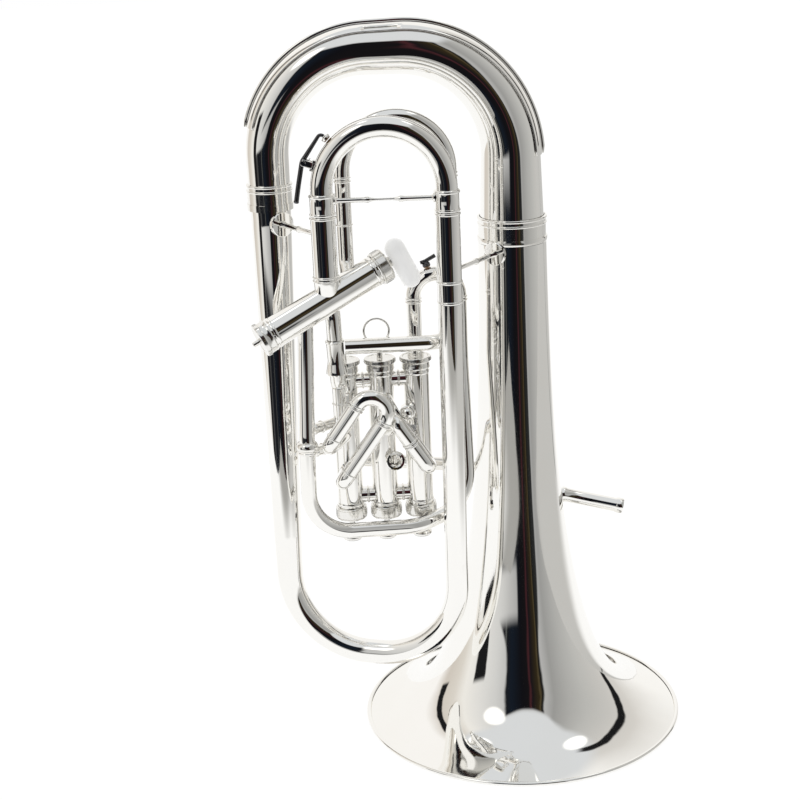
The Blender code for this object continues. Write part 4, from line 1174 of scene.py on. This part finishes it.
def build_small_slides():
    half = (SLIDE4_RIGHT.x - SLIDE4_LEFT.x) / 2 - 1e-5
    crook(
        "valve4_slide", at(SLIDE4_LEFT, SLIDE4_MOUTH_Z), at(SLIDE4_RIGHT, SLIDE4_MOUTH_Z), UP,
        SLIDE4_REACH, LONG_LEG, half, "fourth_slide",
    )
    half = (SLIDE3_RIGHT.x - SLIDE3_LEFT.x) / 2 - 1e-5
    crook(
        "third_slide", at(SLIDE3_LEFT, SLIDE3_MOUTH_Z), at(SLIDE3_RIGHT, SLIDE3_MOUTH_Z), UP,
        SLIDE3_REACH, LONG_LEG, half, "third_slide",
    )
    build_third_key(half)

    lean = math.radians(SLIDE1_LEAN)
    out = Vector((math.sin(lean), 0, math.cos(lean)))
    side = Vector((out.z, 0, -out.x))
    upper = SLIDE1_MOUTH - side * SLIDE1_HALF
    lower = SLIDE1_MOUTH + side * SLIDE1_HALF
    crook("first_slide", upper, lower, out, SLIDE1_REACH, SLIDE1_LEG, 0.01399, "first_slide")
    for tag, mouth, run in (("upper", upper, SLIDE1_UPPER_RUN), ("lower", lower, SLIDE1_LOWER_RUN)):
        turn = mouth - out * (run + 0.0040)
        entry = Vector((VALVE_XS[0], VALVE_Y, turn.z - 0.0020))
        points = route([mouth, turn, entry], (0.0080,))
        slide_sleeve("first_slide_sleeve_" + tag, points, mouth - out * 0.0360, mouth + out * 0.0050, 1)
        collar("first_sleeve_ring_" + tag, mouth - out * 0.0014, out, PIPE_R, 0.0022)
        collar("first_sleeve_foot_" + tag, mouth - out * (run - 0.0080), out, PIPE_R, 0.0020)

    lean = math.radians(SLIDE2_LEAN)
    out = Vector((math.sin(lean), 0, -math.cos(lean)))
    front = SLIDE2_MOUTH - DEPTH * SLIDE2_HALF
    rear = SLIDE2_MOUTH + DEPTH * SLIDE2_HALF
    crook("second_slide", front, rear, out, SLIDE2_REACH, SLIDE2_LEG, 0.00849, "second_slide")
    ends = ("front", front, *SLIDE2_FRONT), ("rear", rear, *SLIDE2_REAR)
    for tag, mouth, run, rise in ends:
        turn = mouth - out * (run + 0.0040)
        entry = Vector((VALVE_XS[1], VALVE_Y, turn.z + rise))
        points = route([mouth, turn, entry], (0.0070,))
        slide_sleeve("second_slide_sleeve_" + tag, points, mouth - out * 0.0100, mouth + out * 0.0050, 2)
        collar("second_sleeve_ring_" + tag, mouth - out * 0.0014, out, PIPE_R, 0.0022)


def build_third_key(half):
    crown = Vector(
        ((SLIDE3_LEFT.x + SLIDE3_RIGHT.x) / 2, SLIDE3_LEFT.y, SLIDE3_MOUTH_Z + SLIDE3_REACH - half),
    )
    slope = math.radians(105)
    outward = Vector((math.cos(slope), 0, math.sin(slope)))
    pad = crown + outward * (half + PIPE_R + 0.0006)
    top = pad + outward * 0.0056
    pivot = top + Vector((-0.0045, 0, -0.0014))
    tail = top + Vector((0.0090, 0, 0.0048))
    points = route([pivot, top, tail], (0.004,), 16)
    arm = piped("third_key_lever", points, taper(points, 0.0016, 0.0018), 20)
    cup = turned(
        "third_key_cup",
        [(0, 0.0052), (0.0018, 0.0050), (0.0034, 0.0036), (0.0036, 0.0012), (0, 0.0012)],
        along(pad, outward), 36,
    )
    finished(
        joined("third_key_lever", arm, cup), KEY_METAL, "third_key",
        ("third_key_lever",),
    )
    cork = [(0, 0.0013), (0.0030, 0.0013), (0.0030, 0.0001), (0, 0.0001)]
    finished(
        turned("third_key_cork", cork, along(pad, outward), 32), CORK, "third_key",
    )


def build_leadpipe():
    axis = (RECEIVER_END - RECEIVER_START).normalized()
    corners = [
        RECEIVER_START,
        RECEIVER_START - axis * 0.0120,
        (0.0100, 0.0600, 0.2150),
        (-0.0450, 0.0540, 0.2350),
        (VALVE_XS[0], 0.0180, 0.2620),
        (VALVE_XS[0], VALVE_Y, 0.2700),
    ]
    points = route(corners, (0.015, 0.030, 0.040, 0.022))
    pipe = bored_for_valve(piped("leadpipe", points, taper(points, 0.0062, PIPE_R), 40), 1)
    finished(pipe, SILVER, nodes=("leadpipe",))
    span = (RECEIVER_END - RECEIVER_START).length
    line = [
        (0.0046, 0.0),
        (0.0074, 0.0),
        (0.0076, 0.0008),
        (0.0074, 0.0040),
        (0.0068, 0.0052),
        (0.0066, 0.0200),
        (0.0067, span - 0.0080),
        (0.0073, span - 0.0064),
        (0.0076, span - 0.0050),
        (0.0076, span - 0.0012),
        (0.0072, span - 0.0002),
        (0.0058, span - 0.0002),
        (0.0056, span - 0.0010),
    ]
    receiver = turned("mouthpiece_receiver", line, along(RECEIVER_START, axis), 64, closed=True)
    finished(receiver, SILVER, nodes=("mouthpiece_receiver",))


def build_pull_ring():
    centre = (-0.1285, -0.0680 + 0.0015 + PIPE_R + 0.0013, 0.4055)
    loop = []
    for i in range(64):
        angle = math.tau * i / 64
        loop.append(Vector(centre) + Vector((math.cos(angle), 0, math.sin(angle))) * 0.0110)
    ring = piped("pull_ring", loop, 0.0010, 16, closed=True)
    finished(ring, SILVER, nodes=("pull_ring",))


def brace(name, big, small, big_r, small_r, flange_r):
    """A stay between two round tubes, with a saddle foot on each."""
    reach = (small - big).normalized()
    span = (small - big).length
    middle = (big_r + span - small_r) / 2
    line = [(0, big_r - 0.004), (0.0030, big_r - 0.004), (0.0032, big_r + 0.002), (0.0022, big_r + 0.006)]
    line += [
        (0.0021, middle - 0.003), (0.0030, middle - 0.0012), (0.0030, middle + 0.0012),
        (0.0021, middle + 0.003),
    ]
    line += [
        (0.0022, span - small_r - 0.004), (0.0030, span - small_r),
        (0.0030, span - small_r + 0.002), (0, span - small_r + 0.002),
    ]
    rod = turned(name, line, along(big, reach), 40)
    foot = [
        (0, big_r - 0.0040), (flange_r * 0.96, big_r - 0.0040), (flange_r, big_r - 0.0034),
        (flange_r, big_r + 0.0006), (flange_r * 0.94, big_r + 0.0013), (0, big_r + 0.0014),
    ]
    disc = turned(name + "_foot", foot, along(big, reach), 64)
    tall = UP * 0.05
    bored(disc, big - tall, big + tall, big_r - 0.0004)
    finished(joined(name, rod, disc), SILVER, nodes=(name,))


def build_braces():
    left = at(BRANCH_TOP, BRACE_LEFT_Z), at(SLIDE_LEFT, BRACE_LEFT_Z)
    brace("brace_left", *left, BOW_BRANCH_R, SLEEVE_R, BRACE_LEFT_FOOT_R)
    right = UP * BRACE_RIGHT_Z, at(SLIDE_RIGHT, BRACE_RIGHT_Z)
    brace("brace_right", *right, BRACE_BELL_R, SLEEVE_R, BRACE_RIGHT_FOOT_R)


# ---------------------------------------------------------------- studio


def build_floor():
    start_clean()
    bpy.ops.mesh.primitive_plane_add(size=1)
    floor = bpy.context.object
    floor.name = "studio_floor"
    floor.scale = (12.0, 12.0, 1)
    floor.location = (0, 4.0, -0.0002)
    settle(floor)
    bpy.ops.object.mode_set(mode="EDIT")
    bpy.ops.mesh.select_all(action="SELECT")
    bpy.ops.mesh.bisect(
        plane_co=(0, FLOOR_EDGE_Y, 0), plane_no=(
            -FLOOR_EDGE_LEAN, 1, 0,
        ), clear_inner=True, clear_outer=False
    )
    bpy.ops.mesh.select_all(action="SELECT")
    bpy.ops.mesh.bisect(
        plane_co=(-1.0, -1.0, 0), plane_no=(1, 0.5, 0), clear_inner=True, clear_outer=False,
    )
    bpy.ops.object.mode_set(mode="OBJECT")
    material = bpy.data.materials.new("pale floor with painted shade")
    material.use_nodes = True
    nodes = Nodes(material.node_tree)
    tree = material.node_tree
    tree.nodes.remove(tree.nodes["Principled BSDF"])
    place = nodes.add("TexCoord").outputs["Object"]
    parts = nodes.add("SeparateXYZ", Vector=place)
    x = nodes.level(parts, 0)
    y = nodes.level(parts, 1)
    # Painted shade: the floor's emission colour turns grey towards +X and darker towards the front, and a
    # painted dark line is drawn near its right edge. The floor glows rather than being lit, and the metal
    # shows these zones as painted reflections of grey walls and dark streaks.
    shade = nodes.smooth(x - y * 0.31, 0.36, 0.75)
    light = nodes.blend(shade, (1.0, 1.0, 1.0, 1), (0.47, 0.465, 0.45, 1))
    light = nodes.blend(nodes.smooth(0 - y, 0.70, 1.15), light, (0.27, 0.265, 0.25, 1))
    painted_dark_line = x * 0.485 - y * 0.875
    painted_dark_line = painted_dark_line.apply("ABSOLUTE", painted_dark_line, 0.0)
    painted_dark_line = (1 - nodes.smooth(painted_dark_line, 0.012, 0.026)) * nodes.smooth(x, 0.7, 0.8)
    light = nodes.blend(painted_dark_line, light, (0.01, 0.01, 0.01, 1))
    glow = nodes.add("Emission", Color=light, Strength=1.16)
    grain = nodes.noise(place, 40.0, 2.0)
    paper = nodes.add(
        "BsdfDiffuse", Color=nodes.blend(grain, (0.93, 0.93, 0.925, 1), (0.90, 0.90, 0.895, 1)),
    )
    mixed = nodes.add("MixShader", Fac=0.25)
    tree.links.new(glow.outputs[0], mixed.inputs[1])
    tree.links.new(paper.outputs[0], mixed.inputs[2])
    tree.links.new(mixed.outputs[0], tree.nodes["Material Output"].inputs["Surface"])
    floor.data.materials.append(material)


def build_world():
    """A white tent with a dark room beyond its open side, which the metal mirrors as dark bands."""
    world = bpy.data.worlds.new("white tent")
    bpy.context.scene.world = world
    world.use_nodes = True
    tree = world.node_tree
    nodes = Nodes(tree)
    place = nodes.add("TexCoord").outputs["Generated"]
    parts = nodes.add("SeparateXYZ", Vector=place)
    x = nodes.level(parts, 0)
    y = nodes.level(parts, 1)
    z = nodes.level(parts, 2)
    turn = x.apply("ARCTAN2", x, 0 - y) * (180 / math.pi)
    rise = z.apply("ARCSINE", z, 0.0) * (180 / math.pi)
    wobble = nodes.noise(place, 3.0, 3.0)
    turn = turn + wobble * 8 - 4
    high = nodes.smooth(rise, -10.0, 8.0)
    left = turn - (high * 32 - 64)
    right = turn - (29 - high * 8)
    opening = nodes.smooth(left, 0.0, 4.0) * (1 - nodes.smooth(right, 0.0, 3.0))
    sideways = turn.apply("ABSOLUTE", turn, 0.0)
    lowered = rise - nodes.smooth(sideways, 5.0, 65.0) * 20
    opening = opening * nodes.smooth(rise, -50.0, -46.0) * (1 - nodes.smooth(lowered, 37.0, 41.0))
    step = nodes.smooth(rise, -7.5, -5.5) * (1 - nodes.smooth(rise, -1.0, 2.0))
    opening = opening * (1 - step * (1 - nodes.smooth(turn, -15.0, -11.0)))
    gaps = ((-118.0, 5.0, 10.0, 64.0), (-69.0, 9.0, -14.0, 12.0), (119.0, 4.5, -12.0, 64.0))
    gap = 0.0
    for middle, half, foot, top in gaps:
        width = nodes.smooth(turn, middle - half, middle - half + 2) * (
            1 - nodes.smooth(turn, middle + half - 2, middle + half)
        )
        height = nodes.smooth(rise, foot - 3, foot) * (1 - nodes.smooth(rise, top, top + 4))
        gap = opening.apply("MAXIMUM", gap, width * height)
    across = (turn + 70) * (1 / 120)
    stripes = [
        (0.0, (0.09, 0.088, 0.085)),
        (0.13, (0.05, 0.052, 0.055)),
        (0.16, (0.008, 0.009, 0.012)),
        (0.30, (0.012, 0.013, 0.016)),
        (0.315, (0.12, 0.125, 0.12)),
        (0.335, (0.010, 0.011, 0.013)),
        (0.40, (0.008, 0.012, 0.020)),
        (0.52, (0.006, 0.006, 0.008)),
        (0.60, (0.008, 0.007, 0.008)),
        (0.625, (0.060, 0.018, 0.022)),
        (0.645, (0.010, 0.008, 0.010)),
        (0.72, (0.030, 0.022, 0.010)),
        (0.735, (0.080, 0.060, 0.030)),
        (0.75, (0.012, 0.012, 0.010)),
        (0.85, (0.030, 0.032, 0.034)),
    ]
    streaks = nodes.add("ValToRGB", {"stops": stripes}, Fac=across)
    around = (turn + 180) * (1 / 360)
    lit = [
        (0.0, (1.0, 0.99, 0.97)),
        (0.13, (1.0, 0.98, 0.96)),
        (0.17, (0.66, 0.61, 0.55)),
        (0.22, (0.74, 0.70, 0.64)),
        (0.26, (0.90, 0.88, 0.84)),
        (0.31, (0.80, 0.79, 0.77)),
        (0.38, (0.66, 0.66, 0.65)),
        (0.46, (0.44, 0.44, 0.44)),
        (0.56, (0.50, 0.50, 0.50)),
        (0.60, (0.34, 0.34, 0.335)),
        (0.66, (0.44, 0.44, 0.43)),
        (0.72, (0.52, 0.52, 0.505)),
        (0.80, (0.60, 0.59, 0.57)),
        (0.86, (0.70, 0.68, 0.65)),
        (0.92, (1.0, 0.99, 0.97)),
        (1.0, (1.0, 0.99, 0.97)),
    ]
    tent = nodes.add("ValToRGB", {"stops": lit}, Fac=around)
    ceiling = nodes.smooth(lowered, 37.0, 44.0)
    walls = nodes.blend(ceiling, tent.outputs[0], (0.72, 0.74, 0.76, 1))
    for turned_by, raised, size in LAMPS:
        flat = math.cos(math.radians(raised))
        spot = (
            flat * math.sin(math.radians(turned_by)),
            -flat * math.cos(math.radians(turned_by)),
            math.sin(math.radians(raised)),
        )
        facing = nodes.level(
            nodes.add("VectorMath", {"operation": "DOT_PRODUCT"}, Vector=place, Vector_001=spot), 1,
        )
        lamp = nodes.smooth(
            facing, math.cos(math.radians(size * 2.0)), math.cos(math.radians(size * 0.6)),
        )
        walls = nodes.blend(lamp, walls, (1.9, 1.88, 1.82, 1))
    room = nodes.blend(opening, walls, streaks.outputs[0])
    room = nodes.blend(gap, room, (0.012, 0.012, 0.013, 1))
    seen = nodes.level(nodes.add("LightPath"), "Is Camera Ray")
    background = tree.nodes["Background"]
    nodes.feed(background.inputs["Color"], nodes.blend(seen, room, (1.0, 1.0, 1.0, 1)))
    background.inputs["Strength"].default_value = 1.0


def build_camera():
    yaw, pitch, roll = math.radians(3.5), math.radians(17.86), math.radians(-2.45)
    forward = Vector((math.sin(yaw) * math.cos(pitch), math.cos(yaw) * math.cos(pitch), -math.sin(pitch)))
    level = Vector((math.cos(yaw), -math.sin(yaw), 0))
    above = level.cross(forward)
    right = level * math.cos(roll) + above * math.sin(roll)
    top = above * math.cos(roll) - level * math.sin(roll)
    data = bpy.data.cameras.new("studio_camera")
    data.lens = 74.25
    data.sensor_width = 36
    camera = bpy.data.objects.new("studio_camera", data)
    bpy.context.scene.collection.objects.link(camera)
    matrix = Matrix((right, top, -forward)).transposed().to_4x4()
    matrix.translation = Vector((-0.1949, -1.4401, 0.7872))
    camera.matrix_world = matrix
    bpy.context.scene.camera = camera


build_bell()
build_bow()
build_branch()
build_tuning_slide()
build_valves()
build_valve4()
build_valve_tubes()
build_small_slides()
build_casing_fittings()
build_leadpipe()
build_pull_ring()
build_braces()
build_floor()
build_world()
build_camera()
bpy.context.scene.view_settings.view_transform = "Standard"
start_clean()
